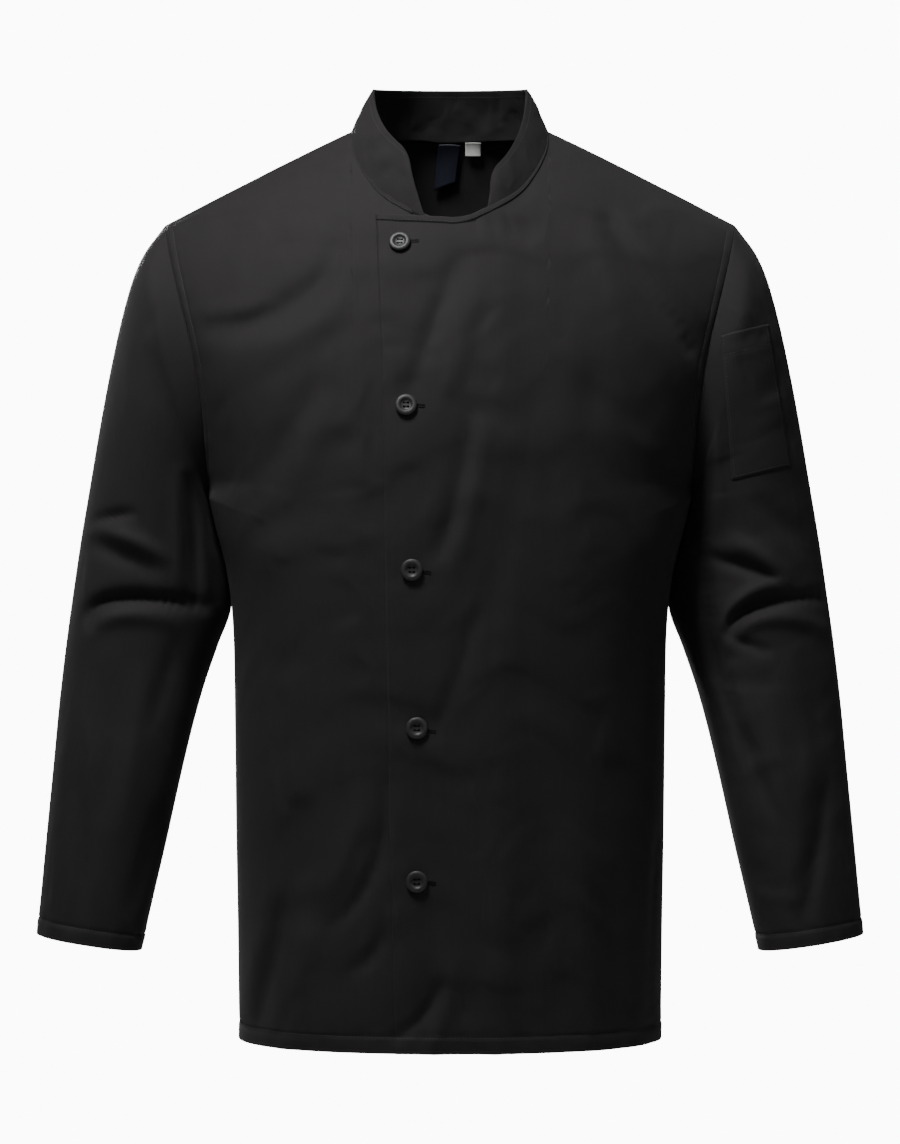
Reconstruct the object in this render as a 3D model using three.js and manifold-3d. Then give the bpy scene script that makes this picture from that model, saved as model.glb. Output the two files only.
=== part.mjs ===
// A long-sleeved chef jacket, filled out as it is worn, with nobody in it.
// Millimetres, +Z up, the front faces -Y and the wearer's left is +X. The origin is the middle of
// the neck, level with the points where the shoulder seams meet the collar.
import * as THREE from "three";
import { mergeVertices } from "three/addons/utils/BufferGeometryUtils.js";
import Module from "manifold-3d";

const wasm = await Module();
wasm.setup();

// Cloth and seams.
const CLOTH_WALL = 1.6;
const COLLAR_WALL = 2.2;
const TAPE_WALL = 1.0;
const TAPE_GAP = 0.5;
const SEAM_GAP = 0.3;
const LAP_GAP = 0.8; // between the two fronts, whose facets differ
const LAP_RISE = CLOTH_WALL + LAP_GAP;

// Neck opening, seen from above: an ellipse wider than it is deep.
const NECK = { halfWidth: 83, frontDepth: 77, backDepth: 75, lapTopZ: -82, lapTopRise: 3 };
const COLLAR_LEFT_END_X = 31; // on the right it stops at the first column past the centre line
const TAPE_WIDTH = 6.5;

// Front lap: the wearer's left front lies over the right one.
const LAP_EDGE = [
  { z: -79, x: -61.5 },
  { z: -235, x: -54.5 },
  { z: -374, x: -52.5 },
  { z: -564, x: -49 },
  { z: -769, x: -44.3 },
];
const LAP_HIDDEN_X = 42; // the right front ends before this, under the left one
const LAP_EASE = 24; // the left front comes down to its own surface over this width

const BUTTON = { radius: 9, height: 3.4, rimWidth: 1.9, dish: 1.1, holeRadius: 0.95, holeOffset: 2.0 };
const BUTTON_PLACES = [
  { x: -41.3, z: -104 },
  { x: -35.9, z: -240 },
  { x: -31, z: -374 },
  { x: -27, z: -503 },
  { x: -27, z: -628 },
];

// Torso sections from the shoulder ridge (first) to the hem (last). side and backSide are where the
// front and the back end: on the armhole down to the underarm, and then on the side seam. mid and
// backMid are [y, z] on the centre line. turn is the share of a full quarter turn that the section
// makes from the centre to its side.
const UNDERARM = 8;
const SECTIONS = [
  { side: [242, 5, -78], backSide: [242, 5, -78], mid: [0, 24], backMid: [0, 24], turn: 0.7 },
  { side: [240, -17, -91], backSide: [241, 27, -91], mid: [-40, -24], backMid: [42, 20], turn: 0.72 },
  { side: [234, -36, -117], backSide: [237, 48, -117], mid: [-77, -82], backMid: [76, 0], turn: 0.76 },
  { side: [225, -51, -152], backSide: [231, 62, -155], mid: [-101, -135], backMid: [95, -50], turn: 0.8 },
  { side: [215, -59, -192], backSide: [224, 70, -197], mid: [-118, -190], backMid: [107, -105], turn: 0.84 },
  { side: [208, -56, -235], backSide: [217, 69, -240], mid: [-128, -243], backMid: [115, -165], turn: 0.88 },
  { side: [205.5, -43, -272], backSide: [211, 55, -276], mid: [-133, -290], backMid: [120, -225], turn: 0.92 },
  { side: [204.5, -24, -299], backSide: [207, 30, -301], mid: [-135.5, -332], backMid: [122, -282], turn: 0.96 },
  { side: [205, 0, -312], backSide: [205, 0, -312], mid: [-136.5, -370], backMid: [121, -335], turn: 1 },
  { side: [198, 0, -340], backSide: [198, 0, -340], mid: [-136.5, -411], backMid: [117, -385], turn: 1 },
  { side: [188.5, 0, -378], backSide: [188.5, 0, -378], mid: [-136, -455], backMid: [112, -435], turn: 1 },
  { side: [183.5, 0, -425], backSide: [183.5, 0, -425], mid: [-135, -505], backMid: [108, -490], turn: 1 },
  { side: [182, 0, -505], backSide: [182, 0, -505], mid: [-134, -565], backMid: [109, -555], turn: 1 },
  { side: [181, 0, -592], backSide: [181, 0, -592], mid: [-134, -630], backMid: [112, -622], turn: 1 },
  { side: [179.5, 0, -681], backSide: [179.5, 0, -681], mid: [-134.5, -699], backMid: [116, -695], turn: 1 },
  { side: [178.5, 0, -769], backSide: [178.5, 0, -769], mid: [-135, -769], backMid: [120, -769], turn: 1 },
];
const BODY_ROUNDNESS = 2.4; // exponent of the superellipse that each section follows
const RIDGE_SOFTNESS = 0.2; // rounds the middle of a section's fall from the centre to its side

// Left sleeve sections after the armhole, from the shoulder to the cuff. outer and inner are [x, z]
// at the ends of the section in the front view, front and back its reach along Y, and innerBack how
// far its inner end lies behind its middle. The right sleeve mirrors them.
const SLEEVE_SECTIONS = [
  { outer: [257, -101], inner: [206.4, -316], front: -63, back: 76, innerBack: 2 },
  { outer: [268.5, -125], inner: [206.6, -321], front: -65, back: 77, innerBack: 6 },
  { outer: [279, -162], inner: [205.2, -329], front: -65, back: 76, innerBack: 11 },
  { outer: [288.5, -206], inner: [202, -341], front: -64, back: 73, innerBack: 16 },
  { outer: [297, -252], inner: [196.8, -357], front: -63, back: 69, innerBack: 20 },
  { outer: [305, -300], inner: [190.8, -378], front: -62, back: 66, innerBack: 23 },
  { outer: [313, -348], inner: [188, -408], front: -61, back: 63, innerBack: 22 },
  { outer: [319.5, -393], inner: [198.5, -438], front: -60, back: 59, innerBack: 15 },
  { outer: [325.5, -438], inner: [210, -473], front: -59, back: 54, innerBack: 8 },
  { outer: [331, -488], inner: [219.5, -509], front: -60, back: 48, innerBack: 3 },
  { outer: [335.5, -540], inner: [229.5, -553], front: -62, back: 41, innerBack: 0 },
  { outer: [340, -590], inner: [240.5, -604], front: -64, back: 34, innerBack: 0 },
  { outer: [344, -636], inner: [251, -650], front: -66, back: 28, innerBack: 0 },
  { outer: [348, -680], inner: [261, -694], front: -67, back: 24, innerBack: 0 },
];

// Patch pocket on the left sleeve: its corners in the front view.
const POCKET = {
  topInner: [225.8, -178.5],
  topOuter: [267, -167.4],
  bottomOuter: [285.8, -286.8],
  bottomInner: [236, -299],
};

// Labels sewn inside the back of the neck, below the collar seam.
const LABEL = { x: -1.5, width: 19, height: 37, wall: 0.8 };
const SIZE_TAG = { x: 19.5, width: 13.5, height: 11, wall: 0.8 };
const LABEL_TOP_DROP = 5;
const LABEL_GAP = 2.6; // clear of the facets of the back's inside

// Largest folds. Each runs from one point to another in the front view, [x, z], as a soft trough
// (depth over 0) or ridge (depth under 0) that fades over its width and past its ends.
const FRONT_FOLDS = [
  { name: "right chest drag", from: [-96, -105], to: [-188, -165], width: 17, depth: 4 },
  { name: "right lower chest", from: [-110, -226], to: [-146, -285], width: 15, depth: 3 },
  { name: "left shoulder drag", from: [132, -80], to: [205, -196], width: 13, depth: 5 },
  { name: "to button two", from: [6, -122], to: [-14, -200], width: 10, depth: 3 },
  { name: "to button three", from: [15, -262], to: [-11, -360], width: 10, depth: 3 },
  { name: "left breast", from: [113, -216], to: [119, -250], width: 20, depth: 3 },
  { name: "left side dent", from: [172, -282], to: [184, -300], width: 14, depth: 2.5 },
  { name: "right hem", from: [-139, -670], to: [-160, -752], width: 13, depth: 6 },
  { name: "right hip", from: [-126, -594], to: [-127, -662], width: 20, depth: 3.5 },
  { name: "lap edge hem", from: [-68, -590], to: [-95, -662], width: 11, depth: 4 },
  { name: "left hip", from: [70, -560], to: [92, -740], width: 22, depth: 3 },
];
const BACK_FOLDS = [
  { name: "right blade drag", from: [-185, -170], to: [-95, -260], width: 17, depth: 5 },
  { name: "left blade drag", from: [188, -178], to: [105, -280], width: 16, depth: 4.5 },
  { name: "right hollow", from: [-60, -430], to: [-48, -600], width: 22, depth: 5 },
  { name: "left hollow", from: [66, -400], to: [80, -560], width: 20, depth: 4.5 },
  { name: "right tail", from: [-112, -600], to: [-128, -750], width: 18, depth: 5 },
  { name: "left tail", from: [118, -560], to: [106, -735], width: 18, depth: 4 },
];
const LEFT_SLEEVE_FOLDS = [
  { name: "elbow upper", from: [222, -366], to: [272, -378], width: 11, depth: 6 },
  { name: "elbow ridge", from: [248, -392], to: [284, -382], width: 9, depth: -4 },
  { name: "elbow main", from: [238, -412], to: [312, -396], width: 10, depth: 8 },
  { name: "elbow lower ridge", from: [240, -424], to: [320, -420], width: 10, depth: -4 },
  { name: "upper inner", from: [214, -300], to: [222, -420], width: 12, depth: 5 },
  { name: "forearm", from: [252, -520], to: [268, -565], width: 14, depth: 4 },
  { name: "wrist", from: [318, -560], to: [300, -655], width: 13, depth: 4 },
];
const RIGHT_SLEEVE_FOLDS = [
  { name: "elbow upper", from: [-298, -331], to: [-276, -326], width: 9, depth: 4 },
  { name: "elbow ridge", from: [-294, -344], to: [-252, -360], width: 12, depth: -5 },
  { name: "elbow main", from: [-300, -408], to: [-226, -400], width: 12, depth: 8 },
  { name: "upper inner", from: [-219, -316], to: [-215, -392], width: 11, depth: 6 },
  { name: "front dart", from: [-196, -292], to: [-194, -394], width: 9, depth: 4 },
  { name: "wrist", from: [-252, -588], to: [-264, -640], width: 14, depth: 4 },
];
const SLEEVE_BACK_FOLDS = [
  { name: "elbow back", from: [236, -395], to: [312, -372], width: 13, depth: 5 },
  { name: "upper arm back", from: [222, -250], to: [276, -300], width: 16, depth: 5 },
  { name: "forearm back", from: [262, -560], to: [322, -520], width: 14, depth: 4 },
];

const { clamp, degToRad, lerp, smoothstep } = THREE.MathUtils;

// Value of a table column at a fractional row, straight between the rows.
function columnAt(rows, pick, row) {
  const low = clamp(Math.floor(row), 0, rows.length - 2);
  return lerp(pick(rows[low]), pick(rows[low + 1]), row - low);
}

// Smooth curve through points that stand one row apart; get it with row / (rows - 1).
function rowCurve(points) {
  const curve = new THREE.CatmullRomCurve3(points, false, "catmullrom", 0.5);
  const last = points.length - 1;
  return (row) => curve.getPoint(clamp(row / last, 0, 1));
}

// Fading trough or ridge of a list of folds at a place in the front view; over 0 is inwards.
function foldDepth(folds, x, z) {
  let depth = 0;
  for (const { from, to, width, depth: most } of folds) {
    const [dx, dz] = [to[0] - from[0], to[1] - from[1]];
    const length = Math.hypot(dx, dz);
    const along = ((x - from[0]) * dx + (z - from[1]) * dz) / length;
    const across = ((x - from[0]) * dz - (z - from[1]) * dx) / length;
    const past = along < 0 ? -along : Math.max(along - length, 0);
    depth += most * Math.exp(-((across / width) ** 2) - (past / (1.6 * width)) ** 2);
  }
  return depth;
}

// One half of the torso, the front or the back, as a surface of s (-1 to 1 across) and t (a row).
function torsoSurface(sideKey, midKey, folds) {
  const sides = SECTIONS.map((row) => new THREE.Vector3(...row[sideKey]));
  const armhole = rowCurve(sides.slice(0, UNDERARM + 1));
  const seam = rowCurve(sides.slice(UNDERARM));
  const middle = rowCurve(SECTIONS.map((row) => new THREE.Vector3(0, ...row[midKey])));
  const sideAt = (t) => (t < UNDERARM ? armhole(t) : seam(t - UNDERARM));
  const fallEnd = Math.hypot(1, RIDGE_SOFTNESS) - RIDGE_SOFTNESS;

  function smooth(s, t) {
    const side = sideAt(t);
    const mid = middle(t);
    const turn = columnAt(SECTIONS, (row) => row.turn, t);
    const sine = Math.sin(s * Math.asin(turn));
    const share = sine / turn;
    const bow = (v) => Math.pow(Math.max(1 - Math.pow(Math.abs(v), BODY_ROUNDNESS), 0), 1 / BODY_ROUNDNESS);
    const fullness = (bow(sine) - bow(turn)) / (1 - bow(turn));
    const fall = (Math.hypot(share, RIDGE_SOFTNESS) - RIDGE_SOFTNESS) / fallEnd;
    return new THREE.Vector3(
      side.x * share,
      lerp(side.y, mid.y, fullness),
      lerp(mid.z, side.z, fall),
    );
  }
  // Folds sink the surface along Y, and fade out towards the side and the shoulder.
  function point(s, t) {
    const p = smooth(s, t);
    const fade = 1 - smoothstep(Math.abs(s), 0.86, 1);
    p.y += Math.sign(-SECTIONS[UNDERARM][midKey][0]) * fade * foldDepth(folds, p.x, p.z);
    return p;
  }
  return { point, armhole };
}

// Direction out of a surface at a place, from two short steps along it; flip turns it round.
function outward(point, s, t, stepS, stepT, flip) {
  const acrossS = point(s + stepS, t).sub(point(s - stepS, t));
  const acrossT = point(s, t + stepT).sub(point(s, t - stepT));
  return acrossS.cross(acrossT).normalize().multiplyScalar(flip);
}

// Parameter between low and high at which a rising test function passes zero.
function solve(test, low, high) {
  for (let step = 0; step < 40; step++) {
    const half = (low + high) / 2;
    if (test(half) < 0) low = half;
    else high = half;
  }
  return (low + high) / 2;
}

const front = torsoSurface("side", "mid", FRONT_FOLDS);
const back = torsoSurface("backSide", "backMid", BACK_FOLDS);
const STEP_S = 1e-3;
const STEP_T = 1e-2;
const frontNormal = (s, t) => outward(front.point, s, Math.max(t, STEP_T), STEP_S, STEP_T, -1);
const backNormal = (s, t) => outward(back.point, s, Math.max(t, STEP_T), STEP_S, STEP_T, 1);

// Rows of every torso panel: closer on the armhole, where the sleeve takes the same points.
const ARMHOLE_STEPS = 12;
const SIDE_STEPS = 14;
const ROWS = [];
for (let i = 0; i <= ARMHOLE_STEPS; i++) ROWS.push((UNDERARM * i) / ARMHOLE_STEPS);
for (let i = 1; i <= SIDE_STEPS; i++)
  ROWS.push(lerp(UNDERARM, SECTIONS.length - 1, i / SIDE_STEPS));

// How far a plan point lies outside the neck ellipse (under 0 is inside the neck).
function outsideNeck(p) {
  const depth = p.y < 0 ? NECK.frontDepth : NECK.backDepth;
  return Math.hypot(p.x / NECK.halfWidth, p.y / depth) - 1;
}

// s at which the shoulder ridge passes a given x.
const ridgeS = (x) => solve((s) => front.point(s, 0).x - x, 0, 1);
const NECK_POINT_S = ridgeS(NECK.halfWidth);

// Columns of one half of a torso panel: even turns round the neck, then even steps to the side.
const NECK_COLUMNS = 6;
const SHOULDER_COLUMNS = 8;
const HALF_COLUMNS = [];
for (let i = 0; i <= NECK_COLUMNS; i++)
  HALF_COLUMNS.push(ridgeS(NECK.halfWidth * Math.sin((Math.PI / 2) * (i / NECK_COLUMNS))));
for (let i = 1; i <= SHOULDER_COLUMNS; i++)
  HALF_COLUMNS.push(lerp(NECK_POINT_S, 1, i / SHOULDER_COLUMNS));

// Row at which a column leaves the neck opening, and 0 where it starts on the shoulder seam.
function neckRow(surface, s) {
  if (Math.abs(s) >= NECK_POINT_S - 1e-6) return 0;
  return solve((t) => outsideNeck(surface.point(s, t)), 0, UNDERARM);
}

// Row at which the left front's lap starts, past the centre line: its top edge is nearly level.
function lapRow(s) {
  const top = (x) => NECK.lapTopZ + NECK.lapTopRise * Math.min(x / LAP_EDGE[0].x, 1);
  return solve((t) => {
    const p = front.point(s, t);
    return top(p.x) - p.z;
  }, 0, UNDERARM);
}

// x of the left front's free edge at a height.
function lapEdgeX(z) {
  const below = LAP_EDGE.findIndex((row) => row.z <= z);
  if (below <= 0) return below === 0 ? LAP_EDGE[0].x : LAP_EDGE.at(-1).x;
  const [high, low] = [LAP_EDGE[below - 1], LAP_EDGE[below]];
  return lerp(high.x, low.x, (z - high.z) / (low.z - high.z));
}

// Closed wall between an outer grid of points and the same grid moved in. Rows run down and
// columns to the right, seen from outside. wrap joins the last column to the first.
function wallGeometry(outer, inner, wrap = false) {
  const rows = outer.length;
  const columns = outer[0].length;
  const positions = [];
  for (const grid of [outer, inner])
    for (const line of grid) for (const p of line) positions.push(p.x, p.y, p.z);
  const index = (side, i, j) => side * rows * columns + i * columns + (j % columns);
  const triangles = [];
  const quad = (a, b, c, d) => triangles.push(a, b, c, a, c, d);
  const spans = wrap ? columns : columns - 1;
  for (let i = 0; i < rows - 1; i++)
    for (let j = 0; j < spans; j++) {
      quad(index(0, i, j), index(0, i + 1, j), index(0, i + 1, j + 1), index(0, i, j + 1));
      quad(index(1, i, j), index(1, i, j + 1), index(1, i + 1, j + 1), index(1, i + 1, j));
    }
  for (let j = 0; j < spans; j++) {
    quad(index(0, 0, j), index(0, 0, j + 1), index(1, 0, j + 1), index(1, 0, j));
    const last = rows - 1;
    quad(index(0, last, j), index(1, last, j), index(1, last, j + 1), index(0, last, j + 1));
  }
  for (let i = 0; i < rows - 1 && !wrap; i++) {
    quad(index(0, i, 0), index(1, i, 0), index(1, i + 1, 0), index(0, i + 1, 0));
    const last = columns - 1;
    quad(index(0, i, last), index(0, i + 1, last), index(1, i + 1, last), index(1, i, last));
  }
  const geometry = new THREE.BufferGeometry();
  geometry.setAttribute("position", new THREE.Float32BufferAttribute(positions, 3));
  geometry.setIndex(triangles);
  geometry.computeVertexNormals();
  return geometry;
}

// Unit normals of a grid of points, out of the side that sees its rows run down and its columns
// run to the right.
function gridNormals(grid, wrap = false) {
  const last = grid.length - 1;
  const columns = grid[0].length;
  return grid.map((line, i) =>
    line.map((_, j) => {
      const left = wrap ? (j + columns - 1) % columns : Math.max(j - 1, 0);
      const right = wrap ? (j + 1) % columns : Math.min(j + 1, columns - 1);
      const across = line[right].clone().sub(line[left]);
      const down = grid[Math.min(i + 1, last)][j].clone().sub(grid[Math.max(i - 1, 0)][j]);
      return down.cross(across).normalize();
    }),
  );
}

// The grid moved along its normals.
const moved = (grid, normals, distance) =>
  grid.map((line, i) => line.map((p, j) => p.clone().addScaledVector(normals[i][j], distance)));

// The same point, with x mirrored when sign is -1.
const mirrored = (p, sign) => new THREE.Vector3(p.x * sign, p.y, p.z);

// Sleeves. A column c runs from the shoulder tip (0) down the front of the armhole to the underarm
// (ARMHOLE_STEPS) and up its back; a row r is 0 on the armhole and then one for each section.
const SLEEVE_COLUMNS = 2 * ARMHOLE_STEPS;
const SLEEVE_ROUNDNESS = 2.2;
const SLEEVE_ROWS = [0, 0.5, 1, 2, 3, 4, 5, 6, 7, 7.5, 8, 8.5, 9, 10, 11, 12, 13, 14];
const armholeRow = (c) => (UNDERARM * (c <= ARMHOLE_STEPS ? c : SLEEVE_COLUMNS - c)) / ARMHOLE_STEPS;
const armholePoint = (c) => (c <= ARMHOLE_STEPS ? front : back).armhole(armholeRow(c));

// Angle round the sleeve of a column: 0 on its outer end, a quarter turn at the front.
const ARMHOLE_REACH = { front: 61, back: 68 }; // from the armhole's middle line to its edges
const ARMHOLE_MIDDLE_Y = 2;

function sleeveAngle(c) {
  const p = armholePoint(c);
  const [tip, pit] = [armholePoint(0), armholePoint(ARMHOLE_STEPS)];
  const half = tip.clone().sub(pit).multiplyScalar(0.5);
  const from = p.clone().sub(tip.clone().add(pit).multiplyScalar(0.5));
  const along = from.dot(half) / half.lengthSq();
  const reach = c <= ARMHOLE_STEPS ? ARMHOLE_REACH.front : ARMHOLE_REACH.back;
  const angle = Math.atan2(Math.abs(from.y - ARMHOLE_MIDDLE_Y) / reach, along);
  if (c <= 0 || c >= SLEEVE_COLUMNS) return 0;
  if (Math.abs(c - ARMHOLE_STEPS) < 1e-6) return Math.PI;
  return c < ARMHOLE_STEPS ? angle : 2 * Math.PI - angle;
}

function sectionPoint({ outer, inner, front: near, back: far, innerBack }, angle) {
  const power = (v) => Math.sign(v) * Math.pow(Math.abs(v), 2 / SLEEVE_ROUNDNESS);
  const [c, s] = [power(Math.cos(angle)), power(Math.sin(angle))];
  return new THREE.Vector3(
    (outer[0] + inner[0]) / 2 + ((outer[0] - inner[0]) / 2) * c,
    (near + far) / 2 - ((far - near) / 2) * s + (innerBack * (1 - c)) / 2,
    (outer[1] + inner[1]) / 2 + ((outer[1] - inner[1]) / 2) * c,
  );
}

// Sleeve surface of c and r on one side, with that side's own folds, which fade towards its edges
// in the front view and towards the armhole.
const FOLD_EDGE = [0.05, 0.5]; // sines of the angle
const FOLD_TOP = [0.5, 2]; // rows

function sleeveSurface(sign, frontFolds) {
  return (c, r) => {
    const angle = sleeveAngle(c);
    const start = armholePoint(c);
    const points = [start, ...SLEEVE_SECTIONS.map((section) => sectionPoint(section, angle))];
    const p = rowCurve(points)(r);
    const near = smoothstep(Math.sin(angle), ...FOLD_EDGE);
    const far = smoothstep(-Math.sin(angle), ...FOLD_EDGE);
    const sink = near * foldDepth(frontFolds, p.x * sign, p.z) + far * foldDepth(SLEEVE_BACK_FOLDS, p.x, p.z);
    p.y += (near > 0 ? 1 : -1) * sink * smoothstep(r, ...FOLD_TOP);
    return mirrored(p, sign);
  };
}

const leftSleeve = sleeveSurface(1, LEFT_SLEEVE_FOLDS);
const rightSleeve = sleeveSurface(-1, RIGHT_SLEEVE_FOLDS);

// Way along which a wall gets its thickness where two pieces meet: shared on a ridge, its own in
// a valley.
const FULL_MITRE = 0.6; // cosine between the two ways

function mitre(own, other) {
  return own.clone().addScaledVector(other, smoothstep(own.dot(other), 0, FULL_MITRE)).normalize();
}

// Sleeve normal on the armhole, over 0 x (mirror it for the right sleeve), and the panels' normal
// just inside it, each from short steps off the seam.
const SLEEVE_STEP = { column: 0.2, edgeRow: 0.02, row: 0.6 };
const PANEL_STEP = { s: 0.005, row: 0.05 };

function sleeveSeamNormal(c) {
  const { column, edgeRow, row } = SLEEVE_STEP;
  const at = (k, r) => leftSleeve((k + SLEEVE_COLUMNS) % SLEEVE_COLUMNS, r);
  const across = at(c - column, edgeRow).sub(at(c + column, edgeRow));
  const down = at(c, row).sub(at(c, 0));
  return down.cross(across).normalize();
}

function panelSeamNormal(c) {
  const row = clamp(armholeRow(c), PANEL_STEP.row, UNDERARM - PANEL_STEP.row);
  return (c <= ARMHOLE_STEPS ? frontNormal : backNormal)(1 - PANEL_STEP.s, row);
}

function sleeveGeometry(surface, sign) {
  const lift = sleeveRise();
  const outer = SLEEVE_ROWS.map((r) =>
    Array.from({ length: SLEEVE_COLUMNS }, (_, c) => {
      const p = surface(c, r);
      return r === 0 ? p.add(mirrored(lift[c], sign)) : p;
    }),
  );
  if (sign > 0) outer.forEach((line) => line.reverse());
  const normals = gridNormals(outer, true);
  normals[0] = normals[0].map((_, j) => {
    const c = sign > 0 ? SLEEVE_COLUMNS - 1 - j : j;
    return mirrored(mitre(sleeveSeamNormal(c), panelSeamNormal(c)), sign);
  });
  return wallGeometry(outer, moved(outer, normals, -CLOTH_WALL), true);
}

// Step off the armhole seam that opens the gap, along the sleeve.
function sleeveRise() {
  return Array.from({ length: SLEEVE_COLUMNS }, (_, c) =>
    leftSleeve(c, 0.5).sub(leftSleeve(c, 0)).setLength(SEAM_GAP),
  );
}

// A torso panel from its columns. A column is { s, start }: s as a function of the row, and the
// row that it starts on. rise lifts the panel where it laps over another.
function panelGrid(surface, normal, columns, rise) {
  return ROWS.map((row) =>
    columns.map(({ s, start }) => {
      const t = start + (1 - start / ROWS.at(-1)) * row;
      const at = s(t);
      const p = surface.point(at, t);
      return p.addScaledVector(normal(at, t), rise(p.x));
    }),
  );
}

// Moves the edges of a panel back from its seams by half the gap, and gives its wall normals.
function panelGeometry(grid, { sides, sign, isBack, shoulderFrom }) {
  const nudge = (line, edge, next, by) =>
    line[edge].add(line[next].clone().sub(line[edge]).setLength(by));
  const normals = gridNormals(grid);
  const columnCount = grid[0].length;
  sides.forEach((edge) => {
    const next = edge === 0 ? 1 : columnCount - 2;
    grid.forEach((line, i) => {
      if (i <= ARMHOLE_STEPS) {
        const c = isBack ? SLEEVE_COLUMNS - i : i;
        const flip = edge === 0 ? sign[0] : sign[1];
        const own = mirrored(panelSeamNormal(c), flip);
        const other = mirrored(sleeveSeamNormal(c % SLEEVE_COLUMNS), flip);
        normals[i][edge] = mitre(own, other);
      } else normals[i][edge] = new THREE.Vector3(edge === 0 ? sign[0] : sign[1], 0, 0);
      nudge(line, edge, next, SEAM_GAP / 2);
    });
  });
  grid[0].forEach((p, j) => {
    const s = shoulderFrom(j);
    if (s === null) return;
    const shared = frontNormal(s, 0).add(backNormal(s, 0)).normalize();
    const atTip = Math.abs(s) > 0.999;
    if (atTip) shared.add(mirrored(sleeveSeamNormal(0), Math.sign(s)));
    normals[0][j] = shared.normalize();
    p.add(grid[1][j].clone().sub(p).setLength(SEAM_GAP / 2));
  });
  return wallGeometry(grid, moved(grid, normals, -CLOTH_WALL));
}

const fixedColumn = (surface, s) => ({ s: () => s, start: neckRow(surface, s) });
const noRise = () => 0;
const lapRise = (x) => LAP_RISE * (1 - smoothstep(x, LAP_HIDDEN_X, LAP_HIDDEN_X + LAP_EASE));
const shoulderS = (s) => (Math.abs(s) >= NECK_POINT_S - 1e-6 ? s : null);

// Left front: its lap past the centre line, then one half of the torso. Both fronts have the same
// columns next to the centre line, so the lap lies evenly on the right front.
const LAP_COLUMNS = 3;
const lapEdgeS = (t) => solve((s) => front.point(s, t).x - lapEdgeX(front.point(s, t).z), -1, 0);
const lapColumns = [
  { s: lapEdgeS, start: lapRow(lapEdgeS(2)) },
  ...[2, 1].map((i) => ({ s: () => -HALF_COLUMNS[i], start: lapRow(-HALF_COLUMNS[i]) })),
];
const leftColumns = [...lapColumns, ...HALF_COLUMNS.map((s) => fixedColumn(front, s))];
const leftGrid = panelGrid(front, frontNormal, leftColumns, lapRise);
const leftFront = panelGeometry(leftGrid, {
  sides: [leftColumns.length - 1],
  sign: [-1, 1],
  isBack: false,
  shoulderFrom: (j) => (j < LAP_COLUMNS ? null : shoulderS(HALF_COLUMNS[j - LAP_COLUMNS])),
});

// Right front: its half, and the hidden strip under the lap.
const rightS = [...HALF_COLUMNS.map((s) => -s).reverse(), ...HALF_COLUMNS.slice(1, 3)];
const rightColumns = rightS.map((s) => fixedColumn(front, s));
const rightGrid = panelGrid(front, frontNormal, rightColumns, noRise);
const rightFront = panelGeometry(rightGrid, {
  sides: [0],
  sign: [-1, 1],
  isBack: false,
  shoulderFrom: (j) => shoulderS(rightS[j]),
});

// Back: both halves, seen from behind.
const backS = [...HALF_COLUMNS.slice().reverse(), ...HALF_COLUMNS.slice(1).map((s) => -s)];
const backColumns = backS.map((s) => fixedColumn(back, s));
const backGrid = panelGrid(back, backNormal, backColumns, noRise);
const backPanel = panelGeometry(backGrid, {
  sides: [0, backColumns.length - 1],
  sign: [1, -1],
  isBack: true,
  shoulderFrom: (j) => shoulderS(backS[j]),
});

// Collar: a band from the right front, round the back, to the left front.
const COLLAR_ROWS = 4;
const COLLAR_TOP = { halfWidth: 65.5, frontDepth: 70, backDepth: 62, sideZ: 35, backRise: 6 };
const COLLAR_FALL = { right: 0.97, left: 1.25 }; // drop of its top edge towards the front
const COLLAR_CORNER = { right: 12, left: 8 }; // further drop at its rounded front corners
const COLLAR_LEAN = { right: 15, left: 9 }; // degrees by which its top stands back at its ends
const COLLAR_END = { right: 15, left: 22 }; // degrees from the front middle to its ends
const LEAN_REACH = 55; // degrees over which the lean fades
const COLLAR_SWELL = 1.5;

function collarTop(base, corner) {
  const side = base.x > 0 ? "left" : "right";
  const seam = Math.atan2(base.x / NECK.halfWidth, -base.y / NECK.frontDepth);
  const beyond = Math.abs(seam) - degToRad(COLLAR_END[side]);
  const lean = degToRad(COLLAR_LEAN[side]) * (1 - smoothstep(beyond, 0, degToRad(LEAN_REACH)));
  const turn = seam + Math.sign(seam) * lean;
  const depth = Math.abs(turn) < Math.PI / 2 ? COLLAR_TOP.frontDepth : COLLAR_TOP.backDepth;
  const y = -depth * Math.cos(turn);
  const rise = y < 0 ? y * COLLAR_FALL[side] : (COLLAR_TOP.backRise * y) / COLLAR_TOP.backDepth;
  return new THREE.Vector3(COLLAR_TOP.halfWidth * Math.sin(turn), y, COLLAR_TOP.sideZ + rise - corner);
}

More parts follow.
